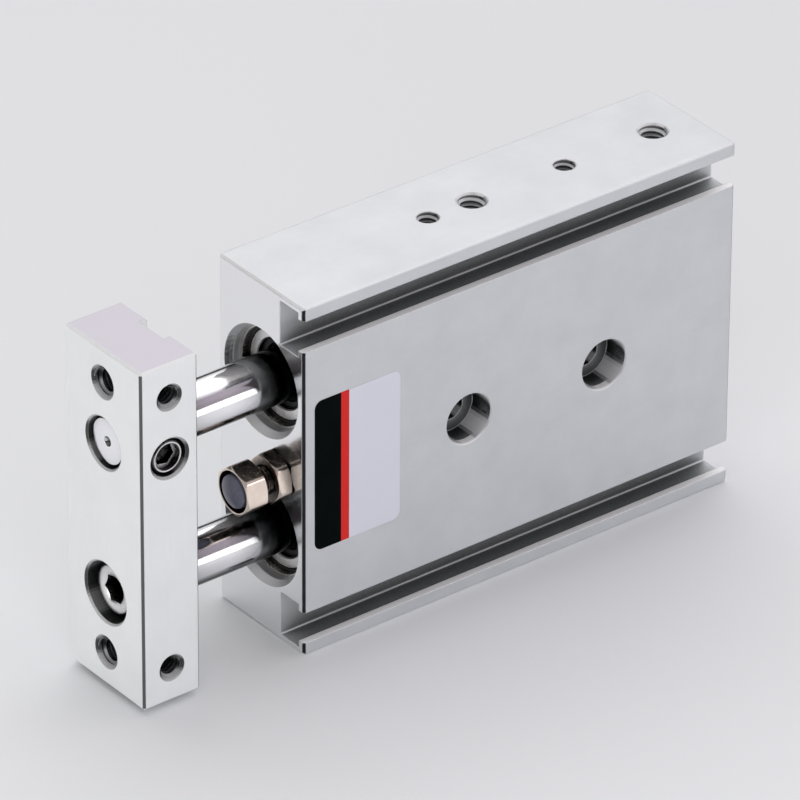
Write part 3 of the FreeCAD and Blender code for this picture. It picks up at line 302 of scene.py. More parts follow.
def makeAnodised(name, settings):
    material, tree, shader = newMaterial(name)
    grain = useGroup(tree, drawnGrain, {"Stretch": settings["stretch"], "Mottle": settings["mottle"]})
    wear = useGroup(tree, handling)
    edge = useGroup(tree, softEdge, {"Radius": settings["edgeRadius"]})
    way = useGroup(tree, faceWay, {
        "Chamfer From": settings["chamferFrom"], "Lip From": settings["lipFrom"],
        "Lip Top": settings["lipTop"], "Free From": settings["freeFrom"]})
    tone = mixTone(tree, grain["Lines"], grain["Cloud"], settings["lineShare"])
    base = mixColour(tree, tone, settings["shaded"], settings["bright"])
    # Painted highlight: end faces are lifted towards the light edge colour
    end = maths(tree, "MULTIPLY", way["Ends"], settings["endHighlight"])
    base = mixColour(tree, end, base, settings["edge"])
    # Painted dark reflection: chamfers between an end face and a side face are painted nearly black
    chamfer = maths(tree, "MULTIPLY", way["Chamfer"], settings["chamferShade"])
    base = mixColour(tree, chamfer, base, settings["chamferDarkReflection"])
    # Painted shade: where ambient occlusion finds the surface closed in, the colour goes to the dark shade
    # colour, except behind Free From
    opening = maths(tree, "MAXIMUM", useCavity(tree, settings), way["Behind"])
    base = mixColour(tree, opening, settings["inside"], base)
    # Painted shade on the floor of a hollow: darkest where closed in, lighter where it opens
    floorShade = settings["floorShade"]
    shade = remap(tree, opening, settings["floorFrom"], 1, floorShade, floorShade * settings["floorShare"])
    base = mixColour(tree, maths(tree, "MULTIPLY", way["Floor"], shade), base, settings["inside"])
    # Painted highlight on fillets and other leaning faces, towards the light edge colour
    fillet = maths(tree, "MULTIPLY", way["Fillet"], settings["filletHighlight"])
    base = mixColour(tree, fillet, base, settings["edge"])
    # Painted light on faces that look up: a white highlight on the housing's lips, a lilac reflection on the
    # plate, weaker where closed in
    lipTone = remap(tree, opening, 0, 1, settings["lipPaintedLightClosedIn"], settings["lipPaintedLight"])
    lip = maths(tree, "MULTIPLY", way["Lip"], lipTone)
    base = mixColour(tree, lip, base, settings["lipPaintedColour"])
    # Painted highlight along the edges, towards the light edge colour
    rim = maths(tree, "MULTIPLY", edge["Edge"], settings["edgeHighlight"])
    base = mixColour(tree, rim, base, settings["edge"])
    tree.links.new(base, shader["Base Color"])
    metal = remap(tree, way["Ends"], 0, 1, settings["metal"], settings["endMetal"])
    paler = remap(tree, maths(tree, "MAXIMUM", fillet, lip), 0, 1, 1.0, settings["lipMetal"])
    tree.links.new(maths(tree, "MULTIPLY", metal, paler), shader["Metallic"])
    faceRough = remap(tree, grain["Lines"], 0, 1, *settings["roughness"])
    endRough = remap(tree, grain["Cloud"], 0, 1, *settings["endRoughness"])
    step = maths(tree, "SUBTRACT", endRough, faceRough)
    rough = maths(tree, "ADD", faceRough, maths(tree, "MULTIPLY", step, way["Ends"]))
    rough = maths(tree, "ADD", rough, maths(tree, "MULTIPLY", wear["Smudge"], settings["smudge"]))
    tree.links.new(rough, shader["Roughness"])
    relief = bump(tree, grain["Lines"], settings["grainStrength"], settings["grainDepth"], edge["Normal"])
    tree.links.new(relief, shader["Normal"])
    return material


# Other metals share one recipe: colour, roughness range, grain and how much it is mottled. Light and shade
# are painted into the colour: a painted highlight along the edges, and painted shade in hollows, beside
# other pieces and on faces that look down.

metalFinish = {"lineShare": 0.5, "grainStrength": 0.3}


def makeMetal(name, settings):
    material, tree, shader = newMaterial(name, Metallic=1.0)
    grain = useGroup(tree, drawnGrain, {"Stretch": settings["stretch"], "Mottle": settings["mottle"]})
    lines = grain["Lines"]
    if "rings" in settings:
        lines = useGroup(tree, turnedGrain, {"Rings": settings["rings"]})["Lines"]
    wear = useGroup(tree, handling, {"Smudge Scale": settings["mottle"]})
    edge = useGroup(tree, softEdge, {"Radius": settings["edgeRadius"]})
    tone = mixTone(tree, lines, grain["Cloud"], metalFinish["lineShare"])
    base = mixColour(tree, tone, settings["shaded"], settings["bright"])
    # Painted highlight along the edges: the colour goes towards the edge colour
    rim = maths(tree, "MULTIPLY", edge["Edge"], settings["edgeHighlight"])
    base = mixColour(tree, rim, base, settings["edge"])
    # Painted shade: where ambient occlusion finds the surface closed in, in hollows and beside other pieces,
    # the colour goes to the dark shade colour
    base = mixColour(tree, useCavity(tree, settings), settings["inside"], base)
    # Painted shade on faces that look down, in the dark shade colour
    downwards = addNode(tree, "SeparateXYZ", {0: addNode(tree, "NewGeometry").outputs["Normal"]}).outputs["Z"]
    base = mixColour(tree, remap(tree, downwards, *settings["undersideShadeSpan"]), settings["inside"], base)
    tree.links.new(base, shader["Base Color"])
    rough = remap(tree, lines, 0, 1, *settings["roughness"])
    rough = maths(tree, "ADD", rough, maths(tree, "MULTIPLY", wear["Smudge"], settings["smudge"]))
    tree.links.new(rough, shader["Roughness"])
    relief = bump(tree, lines, metalFinish["grainStrength"], settings["grainDepth"], edge["Normal"])
    tree.links.new(relief, shader["Normal"])
    return material


chromeLook = {
    "bright": (0.99, 0.99, 1.0, 1), "shaded": (0.94, 0.94, 0.97, 1), "edge": (0.9, 0.9, 0.92, 1),
    "roughness": (0.09, 0.13), "smudge": 0.03, "mottle": 120.0, "stretch": (26000, 300, 300),
    "grainDepth": 0.0006 * mm, "edgeRadius": 0.08 * mm, "edgeHighlight": 0.5,
    "insideReach": 10 * mm, "inside": (0.006, 0.009, 0.010, 1),
    "closure": (0.52, 0.93), "alone": False, "undersideShadeSpan": (-0.52, -0.22),
}
nickelLook = {
    "bright": (0.94, 0.83, 0.71, 1), "shaded": (0.80, 0.67, 0.60, 1), "edge": (1.0, 0.95, 0.88, 1),
    "roughness": (0.17, 0.26), "smudge": 0.05, "mottle": 900.0, "stretch": (2500, 9000, 9000),
    "grainDepth": 0.0015 * mm, "edgeRadius": 0.07 * mm, "edgeHighlight": 0.8,
    "insideReach": 3.5 * mm, "inside": (0.012, 0.009, 0.009, 1),
    "closure": (0.35, 0.92), "alone": False, "undersideShadeSpan": (-1.0, -0.85),
}
zincLook = {
    "bright": (0.90, 0.89, 0.88, 1), "shaded": (0.74, 0.73, 0.73, 1), "edge": (0.95, 0.94, 0.92, 1),
    "roughness": (0.22, 0.34), "smudge": 0.06, "mottle": 500.0, "stretch": (5000, 5000, 5000),
    "grainDepth": 0.004 * mm, "edgeRadius": 0.08 * mm, "edgeHighlight": 0.7,
    "insideReach": 3.5 * mm, "inside": (0.008, 0.008, 0.008, 1),
    "closure": (0.20, 0.75), "alone": False, "undersideShadeSpan": (-1.0, -0.9),
}
screwLook = dict(zincLook, closure=(0.50, 0.93))
springLook = {
    "bright": (0.86, 0.84, 0.80, 1), "shaded": (0.68, 0.66, 0.62, 1), "edge": (0.85, 0.84, 0.82, 1),
    "roughness": (0.18, 0.30), "smudge": 0.03, "mottle": 500.0, "stretch": (800, 5000, 5000),
    "grainDepth": 0.001 * mm, "edgeRadius": 0.07 * mm, "edgeHighlight": 0.7,
    "insideReach": 1.0 * mm, "inside": (0.05, 0.05, 0.05, 1),
    "closure": (0.10, 0.60), "alone": False, "undersideShadeSpan": (-1.0, -0.9),
}
darkAnodisedLook = {
    "bright": (0.15, 0.15, 0.16, 1), "shaded": (0.10, 0.10, 0.11, 1), "edge": (0.35, 0.35, 0.36, 1),
    "roughness": (0.32, 0.45), "smudge": 0.04, "mottle": 300.0, "stretch": (9000, 900, 900),
    "grainDepth": 0.002 * mm, "rings": 130.0, "edgeRadius": 0.10 * mm, "edgeHighlight": 0.6,
    "insideReach": 3 * mm, "inside": (0.01, 0.01, 0.01, 1),
    "closure": (0.35, 0.92), "alone": False, "undersideShadeSpan": (-1.0, -0.9),
}
turnedLook = {
    "bright": (0.70, 0.70, 0.70, 1), "shaded": (0.58, 0.58, 0.59, 1), "edge": (0.90, 0.90, 0.90, 1),
    "roughness": (0.20, 0.32), "smudge": 0.05, "mottle": 300.0, "stretch": (14000, 700, 700),
    "grainDepth": 0.002 * mm, "rings": 130.0, "edgeRadius": 0.08 * mm, "edgeHighlight": 0.6,
    "insideReach": 3 * mm, "inside": (0.05, 0.05, 0.05, 1),
    "closure": (0.35, 0.92), "alone": False, "undersideShadeSpan": (-1.0, -0.9),
}


# Rubbers and plastics

softFinish = {"edgeRadius": 0.08 * mm, "pitStrength": 0.35}


def makeSoft(name, settings):
    material, tree, shader = newMaterial(name, Metallic=0.0)
    shader["Specular IOR Level"].default_value = settings["shine"]
    wear = useGroup(tree, handling, {
        "Smudge Scale": settings["smudgeScale"], "Pit Scale": settings["pitScale"]})
    edge = useGroup(tree, softEdge, {"Radius": softFinish["edgeRadius"]})
    dusty = maths(tree, "MULTIPLY", wear["Smudge"], settings["dust"])
    tree.links.new(mixColour(tree, dusty, settings["colour"], settings["dustColour"]), shader["Base Color"])
    tree.links.new(remap(tree, wear["Smudge"], 0, 1, *settings["roughness"]), shader["Roughness"])
    relief = bump(tree, wear["Pits"], softFinish["pitStrength"], settings["pitDepth"], edge["Normal"])
    tree.links.new(relief, shader["Normal"])
    return material


nitrileLook = {
    "colour": (0.012, 0.012, 0.013, 1), "dustColour": (0.05, 0.05, 0.05, 1), "dust": 0.35,
    "roughness": (0.42, 0.60), "smudgeScale": 400.0, "pitScale": 6000.0, "pitDepth": 0.01 * mm, "shine": 0.4,
}
urethaneLook = {
    "colour": (0.11, 0.115, 0.155, 1), "dustColour": (0.19, 0.20, 0.25, 1), "dust": 0.5,
    "roughness": (0.30, 0.46), "smudgeScale": 500.0, "pitScale": 5000.0, "pitDepth": 0.008 * mm, "shine": 0.5,
}
magnetLook = {
    "colour": (0.045, 0.038, 0.034, 1), "dustColour": (0.09, 0.08, 0.07, 1), "dust": 0.4,
    "roughness": (0.5, 0.7), "smudgeScale": 400.0, "pitScale": 5000.0, "pitDepth": 0.01 * mm, "shine": 0.4,
}
labelWhiteLook = {
    "colour": (0.74, 0.75, 0.83, 1), "dustColour": (0.70, 0.71, 0.80, 1), "dust": 0.25,
    "roughness": (0.28, 0.42), "smudgeScale": 160.0, "pitScale": 2500.0, "pitDepth": 0.002 * mm, "shine": 0.2,
}
labelRedLook = dict(
    labelWhiteLook, colour=(0.74, 0.036, 0.032, 1), dustColour=(0.66, 0.038, 0.034, 1), shine=0.02)
labelBlackLook = dict(
    labelWhiteLook, colour=(0.002, 0.004, 0.004, 1), dustColour=(0.006, 0.007, 0.007, 1), shine=0.01)

extrudedAluminium = makeAnodised("anodisedHousing", anodisedLook)
threadAluminium = makeAnodised("cutThread", threadLook)
plateThread = makeAnodised("plateThread", plateThreadLook)
plateAluminium = makeAnodised("anodisedPlate", plateLook)
turnedAluminium = makeMetal("turnedAluminium", turnedLook)
darkAluminium = makeMetal("darkAnodisedAluminium", darkAnodisedLook)
chrome = makeMetal("hardChrome", chromeLook)
nickel = makeMetal("warmNickel", nickelLook)
zinc = makeMetal("brightZinc", zincLook)
screwSteel = makeMetal("screwSteel", screwLook)
springSteel = makeMetal("springSteel", springLook)
nitrile = makeSoft("nitrileRubber", nitrileLook)
urethane = makeSoft("urethane", urethaneLook)
magnetRubber = makeSoft("magnetRubber", magnetLook)
labelFilm = [makeSoft(name, look) for name, look in (
    ("labelBlack", labelBlackLook), ("labelRed", labelRedLook), ("labelWhite", labelWhiteLook))]

# Two pieces have a material of their own, and slots that aren't listed are turned aluminium

ownMaterials = {"housing": extrudedAluminium, "plate": plateAluminium}
slotMaterials = {
    "dark_anodised_aluminium": darkAluminium,
    "piston_aluminium": turnedAluminium,
    "hard_chrome": chrome,
    "plated_steel": zinc,
    "nickel_plated_steel": nickel,
    "spring_steel": springSteel,
    "nitrile_rubber": nitrile,
    "magnet": magnetRubber,
    "urethane": urethane,
}
for part in frame["record"]["subparts"]:
    nodeName = part["node"]
    kept = ownMaterials.get(nodeName) or slotMaterials.get(part["material_slot"], turnedAluminium)
    for place in nodes[nodeName].material_slots:
        place.material = kept
print("materials made:", len(bpy.data.materials))


# Mesh tools

def addPiece(name, mesh, materials, body, crease=32, standsFor=()):
    bmesh.ops.recalc_face_normals(mesh, faces=mesh.faces)
    data = bpy.data.meshes.new(name)
    mesh.to_mesh(data)
    mesh.free()
    data.shade_smooth()
    data.set_sharp_from_angle(angle=math.radians(crease))
    for material in materials:
        data.materials.append(material)
    piece = bpy.data.objects.new(name, data)
    bpy.context.scene.collection.objects.link(piece)
    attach(piece, body)
    if standsFor:
        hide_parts(*standsFor)
    return piece


# Two directions square to an axis, right-handed with it

def squareTo(axis):
    axis = Vector(axis).normalized()
    first = Vector((1, 0, 0))
    if abs(axis.x) > 0.5:
        first = Vector((0, 1, 0))
    elif abs(axis.y) > 0.5:
        first = Vector((0, 0, 1))
    return axis, first, axis.cross(first)


# Skins a row of rings. A ring is (along, radius) or a function of the angle that gives both.

def skinRings(mesh, origin, axis, rings, count, closed=False):
    axis, first, second = squareTo(axis)
    rows = []
    for ring in rings:
        if not callable(ring) and ring[1] == 0:
            rows.append([mesh.verts.new(origin + axis * ring[0])] * count)
            continue
        row = []
        for step in range(count):
            angle = 2 * math.pi * step / count
            along, radius = ring(angle) if callable(ring) else ring
            out = first * math.cos(angle) + second * math.sin(angle)
            row.append(mesh.verts.new(origin + axis * along + out * radius))
        rows.append(row)
    pairs = list(zip(rows, rows[1:]))
    if closed:
        pairs.append((rows[-1], rows[0]))
    for front, back in pairs:
        for step in range(count):
            following = (step + 1) % count
            quad = [front[step], front[following], back[following], back[step]]
            mesh.faces.new(list(dict.fromkeys(quad)))


# A hexagon's edge at an angle; the turned cone of the chamfer moves it along the axis

def hexagonRing(along, flats, turn, cut=0.0, cone=0.0, coneStart=0.0):
    def ring(angle):
        sector = math.radians(60)
        offset = (angle - turn + sector / 2) % sector - sector / 2
        radius = min(flats / 2 / math.cos(offset), flats / 2 / math.cos(sector / 2) - cut)
        return along + max(radius - coneStart, 0) * cone, radius
    return ring


# A quarter round from one (along, radius) to another, bulging to the outside

def quarterRound(start, end, steps=5):
    points = []
    for step in range(steps + 1):
        angle = math.pi / 2 * step / steps
        points.append((start[0] + (end[0] - start[0]) * (1 - math.cos(angle)),
                       start[1] + (end[1] - start[1]) * math.sin(angle)))
    return points


# A right-handed screw thread as one closed ridge; a negative height points inwards. Root and crest
# are half widths of the ridge, and run-out is how much of a turn it fades over, all in turns.

threadShape = {"perTurn": 40, "embed": 0.04, "root": 0.46, "crest": 0.07, "runOut": 0.4}


def addThread(mesh, origin, axis, wall, height, pitch, start, length):
    axis, first, second = squareTo(axis)
    perTurn = threadShape["perTurn"]
    fadeSteps = perTurn * threadShape["runOut"]
    embed = math.copysign(threadShape["embed"] * mm, -height)
    root = threadShape["root"]
    crest = threadShape["crest"]
    section = [(-root, 0.0), (-crest, 1.0), (crest, 1.0), (root, 0.0)]
    sides = len(section)
    count = int(perTurn * (length / pitch - 1))
    rows = []
    for step in range(count + 1):
        angle = 2 * math.pi * step / perTurn
        out = first * math.cos(angle) + second * math.sin(angle)
        fade = min(1, (step + 1) / fadeSteps, (count + 1 - step) / fadeSteps)
        centre = start + pitch * (0.5 + step / perTurn)
        row = []
        for shift, rise in section:
            radius = wall + (height * rise * fade if rise else embed)
            row.append(mesh.verts.new(origin + axis * (centre + shift * pitch) + out * radius))
        rows.append(row)
    for front, back in zip(rows, rows[1:]):
        for corner in range(sides):
            following = (corner + 1) % sides
            mesh.faces.new([front[corner], front[following], back[following], back[corner]])
    mesh.faces.new(rows[0])
    mesh.faces.new(list(reversed(rows[-1])))


# Threads of the tapped holes: their size, how far behind the face they start and their length

tappedHoles = {
    "port_rod_side": {"thread": "M5", "skip": 0.0, "length": 5.6},
    "port_head_side": {"thread": "M5", "skip": 0.0, "length": 5.6},
    "top_taps": {"thread": "M4", "skip": -0.02, "length": 5.7},
    "base_taps": {"thread": "M4", "skip": -0.02, "length": 5.7},
    "plate_front_taps": {"thread": "M5", "skip": 0.12, "length": 9.5},
    "plate_edge_taps_near": {"thread": "M4", "skip": 0.10, "length": 4.6},
    "plate_edge_taps_far": {"thread": "M4", "skip": 0.10, "length": 4.6},
}
threadSizes = {
    "M4": {"wall": 1.65, "height": 0.30, "pitch": 0.7},
    "M5": {"wall": 2.10, "height": 0.36, "pitch": 0.8},
}


def holeMouths(mount, low, high):
    axis = Vector(mount["axis"])
    centre = Vector(mount["pos_m"])
    face = high if sum(axis) > 0 else low
    for index in range(3):
        if abs(axis[index]) > 0.5:
            centre[index] = face[index]
    if "spacing_x_mm" in mount["dims"]:
        row = Vector((mount["dims"]["spacing_x_mm"] / 2 * mm, 0, 0))
    elif "spacing_y_mm" in mount["dims"]:
        row = Vector((0, 0, mount["dims"]["spacing_y_mm"] / 2 * mm))
    else:
        return [centre], -axis
    return [centre - row, centre + row], -axis


for name, hole in tappedHoles.items():
    onPlate = name.startswith("plate")
    low, high = (plateLow, plateHigh) if onPlate else (housingLow, housingHigh)
    mouths, inwards = holeMouths(mounts[name], low, high)
    size = threadSizes[hole["thread"]]
    mesh = bmesh.new()
    for mouth in mouths:
        addThread(mesh, mouth, inwards, size["wall"] * mm, -size["height"] * mm, size["pitch"] * mm,
                  hole["skip"] * mm, hole["length"] * mm)
    addPiece("thread_" + name, mesh, [plateThread if onPlate else threadAluminium],
             "plate_body" if onPlate else "housing_body", crease=50)
print("threads cut:", len(tappedHoles))


# Bumper bolt: hexagon head with turned corners, recess for the cushion and threaded shank

bolt = {
    "flats": 7.0, "headLength": 3.65, "headTurn": -12, "cornerCut": 0.10, "faceCircle": 0.985,
    "recessDepth": 1.2, "recessRadius": 3.24, "lip": 0.08,
    "shankRadius": 1.66, "threadHeight": 0.31, "pitch": 0.7, "threadFrom": 0.5, "underHead": 0.25,
    "point": 0.5, "pointTaper": 0.8, "around": 120,
}
cone = math.tan(math.radians(30))  # slope of a turned chamfer
roundShare = 0.3  # how far a rounded corner's middle point lies from its two sides, as a share


def makeBolt():
    low, high = boxOf("bumper_bolt")
    origin = middleOf("lock_nut")
    origin.x = low.x
    total = high.x - low.x
    flats = bolt["flats"] * mm
    head = bolt["headLength"] * mm
    circle = flats / 2 * bolt["faceCircle"]
    turn = math.radians(bolt["headTurn"])
    recess = bolt["recessRadius"] * mm
    floor = bolt["recessDepth"] * mm
    lip = bolt["lip"] * mm
    shank = bolt["shankRadius"] * mm
    neck = bolt["underHead"] * mm
    point = bolt["point"] * mm
    mesh = bmesh.new()
    rings = [
        (floor, 0), (floor, recess),
        (lip, recess), (lip * roundShare, recess + lip * roundShare), (0, recess + lip), (0, circle),
        hexagonRing(0, flats, turn, bolt["cornerCut"] * mm, cone, circle),
        hexagonRing(head, flats, turn, bolt["cornerCut"] * mm, -cone, circle),
        (head, circle), (head, shank + neck), (head + neck * roundShare, shank + neck * roundShare),
        (head + neck, shank), (total - point, shank), (total, shank - point * bolt["pointTaper"]), (total, 0),
    ]
    skinRings(mesh, origin, (1, 0, 0), rings, bolt["around"])
    addThread(mesh, origin, (1, 0, 0), shank, bolt["threadHeight"] * mm, bolt["pitch"] * mm,
              head + neck * bolt["threadFrom"], total - head - neck - point)
    return addPiece("bumper_bolt_threaded", mesh, [nickel], "adjuster_body",
                    crease=28, standsFor=["bumper_bolt"])


# Lock nut: both faces turned, countersunk at both ends of the bore

nut = {
    "flats": 7.0, "turn": -15, "cornerCut": 0.10, "faceCircle": 0.985, "boreRadius": 2.02, "mouthRadius": 2.3,
    "around": 120,
}


def makeNut():
    low, high = boxOf("lock_nut")
    origin = middleOf("lock_nut")
    origin.x = low.x
    thickness = high.x - low.x
    flats = nut["flats"] * mm
    circle = flats / 2 * nut["faceCircle"]
    turn = math.radians(nut["turn"])
    bore = nut["boreRadius"] * mm
    mouth = nut["mouthRadius"] * mm
    sink = mouth - bore
    mesh = bmesh.new()
    rings = [
        (sink, bore), (0, mouth), (0, circle),
        hexagonRing(0, flats, turn, nut["cornerCut"] * mm, cone, circle),
        hexagonRing(thickness, flats, turn, nut["cornerCut"] * mm, -cone, circle),
        (thickness, circle), (thickness, mouth), (thickness - sink, bore),
    ]
    skinRings(mesh, origin, (1, 0, 0), rings, nut["around"], closed=True)
    return addPiece("lock_nut_turned", mesh, [nickel], "housing_body",
                    crease=28, standsFor=["lock_nut"])


# Bumper cushion: domed disc with a soft rim and a stem

cushion = {
    "radius": 2.6, "dome": 0.8, "recess": 1.2, "stemRadius": 1.25, "rim": 0.25,
    "domeSteps": 10, "rimSteps": 5, "around": 72,
}


def makeCushion():
    low, high = boxOf("bumper_cushion")
    origin = middleOf("bumper_cushion")
    origin.x = low.x
    radius = cushion["radius"] * mm
    dome = cushion["dome"] * mm
    back = dome + cushion["recess"] * mm
    stem = cushion["stemRadius"] * mm
    rim = cushion["rim"] * mm
    ball = (radius ** 2 + dome ** 2) / (2 * dome)
    inner = radius - rim
    rings = [(0, 0)]
    for step in range(1, cushion["domeSteps"] + 1):
        reach = inner * step / cushion["domeSteps"]
        rings.append((ball - math.sqrt(ball ** 2 - reach ** 2), reach))
    edge = rings[-1][0]
    for step in range(1, cushion["rimSteps"] + 1):
        angle = math.pi / 2 * step / cushion["rimSteps"]
        rings.append((edge + (dome + rim - edge) * (1 - math.cos(angle)), inner + rim * math.sin(angle)))
    rings += [(back, radius), (back, stem), (high.x - low.x, stem), (high.x - low.x, 0)]
    mesh = bmesh.new()
    skinRings(mesh, origin, (1, 0, 0), rings, cushion["around"])
    return addPiece("bumper_cushion_domed", mesh, [urethane], "adjuster_body",
                    crease=40, standsFor=["bumper_cushion"])


# Socket head cap screw in the plate: rounded and knurled head, chamfered socket

capScrew = {
    "headRadius": 4.25, "headLength": 5.0, "faceRadius": 3.5, "socket": 4.0, "socketMouth": 2.55,
    "socketDepth": 2.6, "socketTip": 0.25, "socketTurn": 20, "shankRadius": 2.5, "pointLength": 0.3,
    "pointRadius": 0.7, "knurls": 40, "knurlDepth": 0.14, "knurlFrom": 1.3, "knurlTo": 0.6,
    "backBreak": (0.3, 0.4), "perKnurl": 6,
}


def makeCapScrew():
    low, high = boxOf("plate_cap_screw")
    origin = middleOf("plate_cap_screw")
    origin.x = low.x
    total = high.x - low.x
    head = capScrew["headRadius"] * mm
    face = capScrew["faceRadius"] * mm
    length = capScrew["headLength"] * mm
    socket = capScrew["socket"] * mm
    depth = capScrew["socketDepth"] * mm
    mouth = capScrew["socketMouth"] * mm
    shank = capScrew["shankRadius"] * mm
    turn = math.radians(capScrew["socketTurn"])
    knurl = capScrew["knurlDepth"] * mm
    knurlCount = capScrew["knurls"]
    rounding = head - face

    def knurled(along):
        return lambda angle: (along, head - knurl * abs(math.sin(angle * knurlCount / 2)))

    def socketMouth(angle):
        radius = hexagonRing(0, socket, turn)(angle)[1]
        return max(mouth - radius, 0) * cone, radius

    back, side = capScrew["backBreak"]
    tip = (depth + socket * capScrew["socketTip"], 0)
    rings = [tip, hexagonRing(depth, socket, turn), socketMouth, (0, mouth)]
    rings += quarterRound((0, face), (rounding, head - knurl))
    rings += [
        knurled(rounding * capScrew["knurlFrom"]), knurled(length - rounding * capScrew["knurlTo"]),
        (length - rounding * back, head - knurl), (length, head - rounding * side), (length, shank),
        (total - shank * capScrew["pointLength"], shank),
        (total, shank * capScrew["pointRadius"]), (total, 0),
    ]
    mesh = bmesh.new()
    skinRings(mesh, origin, (1, 0, 0), rings, knurlCount * capScrew["perKnurl"])
    return addPiece("plate_cap_screw_knurled", mesh, [screwSteel], "plate_body",
                    crease=35, standsFor=["plate_cap_screw"])


# Set screw in the plate's side: wide chamfer, thin bright rim and a deep socket

setScrew = {
    "radius": 2.94, "rimOuter": 2.36, "rimInner": 2.14, "chamferDepth": 0.55, "socket": 3.0,
    "mouthDepth": 0.9, "mouthTaper": 0.97, "socketFrom": 1.1, "socketDepth": 2.0, "socketTip": 0.2,
    "socketTurn": 10, "cupRadius": 1.5, "cupDepth": 0.5, "rimBreak": 0.03, "around": 96,
}


def makeSetScrew():
    low, high = boxOf("plate_set_screw")
    origin = middleOf("plate_set_screw")
    origin.y = low.y
    total = high.y - low.y
    radius = setScrew["radius"] * mm
    rim = setScrew["rimOuter"] * mm
    inner = setScrew["rimInner"] * mm
    chamfer = setScrew["chamferDepth"] * mm
    socket = setScrew["socket"] * mm
    depth = setScrew["socketDepth"] * mm
    cup = setScrew["cupRadius"] * mm
    turn = math.radians(setScrew["socketTurn"])
    mouth = setScrew["mouthDepth"] * mm
    soft = setScrew["rimBreak"] * mm
    rings = [
        (depth + socket * setScrew["socketTip"], 0), hexagonRing(depth, socket, turn),
        hexagonRing(mouth * setScrew["socketFrom"], socket, turn), (mouth, inner * setScrew["mouthTaper"]),
        (soft, inner), (0, inner + soft), (0, rim), (chamfer, radius),
        (total - (radius - cup), radius), (total, cup), (total - cup * setScrew["cupDepth"], 0),
    ]
    mesh = bmesh.new()
    skinRings(mesh, origin, (0, 1, 0), rings, setScrew["around"])
    return addPiece("plate_set_screw_socketed", mesh, [screwSteel], "plate_body",
                    crease=30, standsFor=["plate_set_screw"])


makeBolt()
makeNut()
makeCushion()
makeCapScrew()
makeSetScrew()
print("fasteners made")


# Rating label on the slotted face, left without print: dark band, red stripe, pale field

label = {
    "fromFront": 2.0, "bottom": 17.1, "top": 42.0, "bands": (4.7, 1.45, 9.2), "corner": 1.3,
    "thickness": 0.05, "edgeSteps": 6,
}


def makeLabel():
    left = housingLow.x + label["fromFront"] * mm
    bottom = label["bottom"] * mm
    top = label["top"] * mm
    corner = label["corner"] * mm
    face = housingLow.y
    thickness = label["thickness"] * mm
    stops = [0]
    for width in label["bands"]:
        stops.append(stops[-1] + width * mm)
    total = stops[-1]
    # columns across the label: close together where the corners round off
    steps = label["edgeSteps"]
    columns = [corner * (1 - math.cos(math.pi / 2 * step / steps)) for step in range(steps + 1)]
    columns += stops[1:-1]
    columns += [total - across for across in columns[:steps + 1]]
    columns = sorted(set(round(across, 9) for across in columns))
    mesh = bmesh.new()

    def inset(across):
        near = min(across, total - across)
        if near >= corner:
            return 0
        return corner - math.sqrt(max(corner ** 2 - (corner - near) ** 2, 0))

    def column(across, depth):
        low = bottom + inset(across)
        high = top - inset(across)
        return [mesh.verts.new((left + across, face - depth, low + (high - low) * share)) for share in (0, 1)]

    front = [column(across, thickness) for across in columns]
    back = [column(across, 0) for across in columns]
    for index in range(len(columns) - 1):
        middle = (columns[index] + columns[index + 1]) / 2
        band = sum(middle > stop for stop in stops[1:-1])
        for side in (front, back):
            quad = [side[index][0], side[index + 1][0], side[index + 1][1], side[index][1]]
            mesh.faces.new(quad).material_index = band
        for end in (0, 1):
            quad = [front[index][end], front[index + 1][end], back[index + 1][end], back[index][end]]
            mesh.faces.new(quad).material_index = band
    for index, band in ((0, 0), (-1, 2)):
        quad = [front[index][0], front[index][1], back[index][1], back[index][0]]
        mesh.faces.new(quad).material_index = band
    return addPiece("rating_label", mesh, labelFilm, "housing_body", crease=30)


makeLabel()
print("label placed")


# Floor, light and camera

studio = {
    "floorColour": (0.83, 0.85, 0.865, 1), "floorSize": 6.0, "floorGap": 0.02, "floorMottle": 9.0,
    "floorDarker": 0.985, "floorCells": 4,
    "sky": (
        (0.0, (0.04, 0.04, 0.045)), (0.22, (0.06, 0.06, 0.065)), (0.36, (1.0, 0.99, 1.0)),
        (0.56, (1.35, 1.34, 1.38)), (0.80, (1.35, 1.34, 1.38)), (0.92, (0.50, 0.44, 0.46)),
        (1.0, (0.42, 0.37, 0.39))),
    "frontColour": (0.34, 0.305, 0.335, 1), "frontSpan": (-0.46, -0.26),
    "leftColour": (0.17, 0.165, 0.16, 1), "leftSpan": (-0.40, 0.10),
    "skyStrength": 0.90,
}
lamps = {
    "topSoftbox": {
        "place": (0.05, 0.22, 0.70), "aim": (0, 0, 0), "size": (0.9, 0.9),
        "power": 2.35, "colour": (1.0, 0.99, 0.98), "mirrored": True},
    "frontSoftbox": {
        "place": (0.44, -0.76, 0.15), "aim": (0, 0, 0.03), "size": (0.8, 0.34),
        "power": 1.7, "colour": (1.0, 0.99, 1.0), "mirrored": True},
    "leftSoftbox": {
        "place": (-0.48, -0.02, 0.05), "aim": (-0.09, 0.02, -0.01), "size": (0.30, 0.15),
        "power": 0.50, "colour": (1.0, 0.99, 0.98), "mirrored": True},
    "fillSoftbox": {
        "place": (-0.42, -0.50, 0.50), "aim": (-0.02, -0.02, 0), "size": (0.6, 0.6),
        "power": 1.9, "colour": (1.0, 0.99, 1.0), "mirrored": False},
}
viewpoint = {
    "place": (-0.69192, -0.87001, 0.69864), "turn": (58.736, -0.270, -37.746), "lens": 401.42, "sensor": 36,
}


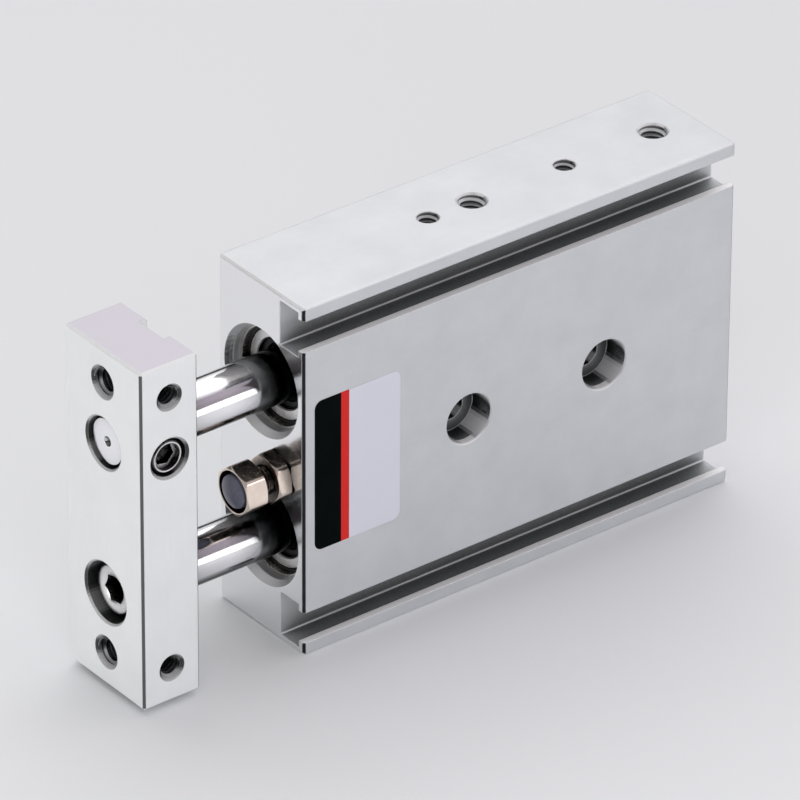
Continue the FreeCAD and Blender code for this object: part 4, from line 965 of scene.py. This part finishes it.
def makeFloor():
    material, tree, shader = newMaterial("paleFloor", Roughness=0.85)
    place = addNode(tree, "TexCoord").outputs["Object"]
    noise = {"Vector": place, "Scale": studio["floorMottle"], "Detail": 3.0}
    cloud = addNode(tree, "TexNoise", noise).outputs[0]
    darker = tuple(value * studio["floorDarker"] for value in studio["floorColour"][:3]) + (1,)
    tree.links.new(mixColour(tree, cloud, studio["floorColour"], darker), shader["Base Color"])
    mesh = bmesh.new()
    cells = studio["floorCells"]
    bmesh.ops.create_grid(mesh, x_segments=cells, y_segments=cells, size=studio["floorSize"] / 2)
    data = bpy.data.meshes.new("floor")
    mesh.to_mesh(data)
    mesh.free()
    data.materials.append(material)
    floor = bpy.data.objects.new("floor", data)
    floor.location.z = housingLow.z - studio["floorGap"] * mm
    bpy.context.scene.collection.objects.link(floor)


def makeSky():
    world = bpy.data.worlds.new("studioRoom")
    world.use_nodes = True
    bpy.context.scene.world = world
    tree = world.node_tree
    way = addNode(tree, "TexCoord").outputs["Generated"]
    across, side, height = addNode(tree, "SeparateXYZ", {0: way}).outputs
    ramp = addNode(tree, "ValToRGB", {0: height})
    stops = ramp.color_ramp.elements
    while len(stops) < len(studio["sky"]):
        stops.new(0.5)
    heights, colours = zip(*studio["sky"])
    for stop, where in zip(stops, heights):
        stop.position = where
    for stop, colour in zip(stops, colours):
        stop.color = (*colour, 1)
    lit = ramp.outputs[0]
    for part, name in ((side, "front"), (across, "left")):
        lightness = remap(tree, part, *studio[name + "Span"])
        shade = mixColour(tree, lightness, studio[name + "Colour"], (1, 1, 1, 1))
        lit = addNode(tree, "VectorMath", {0: lit, 1: shade}, operation="MULTIPLY").outputs[0]
    sky = tree.nodes["Background"]
    tree.links.new(lit, sky.inputs["Color"])
    sky.inputs["Strength"].default_value = studio["skyStrength"]


def makeLamps():
    for name, lamp in lamps.items():
        data = bpy.data.lights.new(name, "AREA")
        data.shape = "RECTANGLE"
        data.size, data.size_y = lamp["size"]
        data.energy = lamp["power"]
        data.color = lamp["colour"]
        light = bpy.data.objects.new(name, data)
        light.location = lamp["place"]
        light.rotation_euler = (Vector(lamp["aim"]) - light.location).to_track_quat("-Z", "Y").to_euler()
        light.visible_glossy = lamp["mirrored"]
        bpy.context.scene.collection.objects.link(light)


def makeCamera():
    data = bpy.data.cameras.new("camera")
    data.sensor_width = viewpoint["sensor"]
    data.lens = viewpoint["lens"]
    camera = bpy.data.objects.new("camera", data)
    camera.location = viewpoint["place"]
    camera.rotation_euler = [math.radians(angle) for angle in viewpoint["turn"]]
    bpy.context.scene.collection.objects.link(camera)
    bpy.context.scene.camera = camera


makeFloor()
makeSky()
makeLamps()
makeCamera()
bpy.context.scene.view_settings.view_transform = "Standard"
print("studio ready")
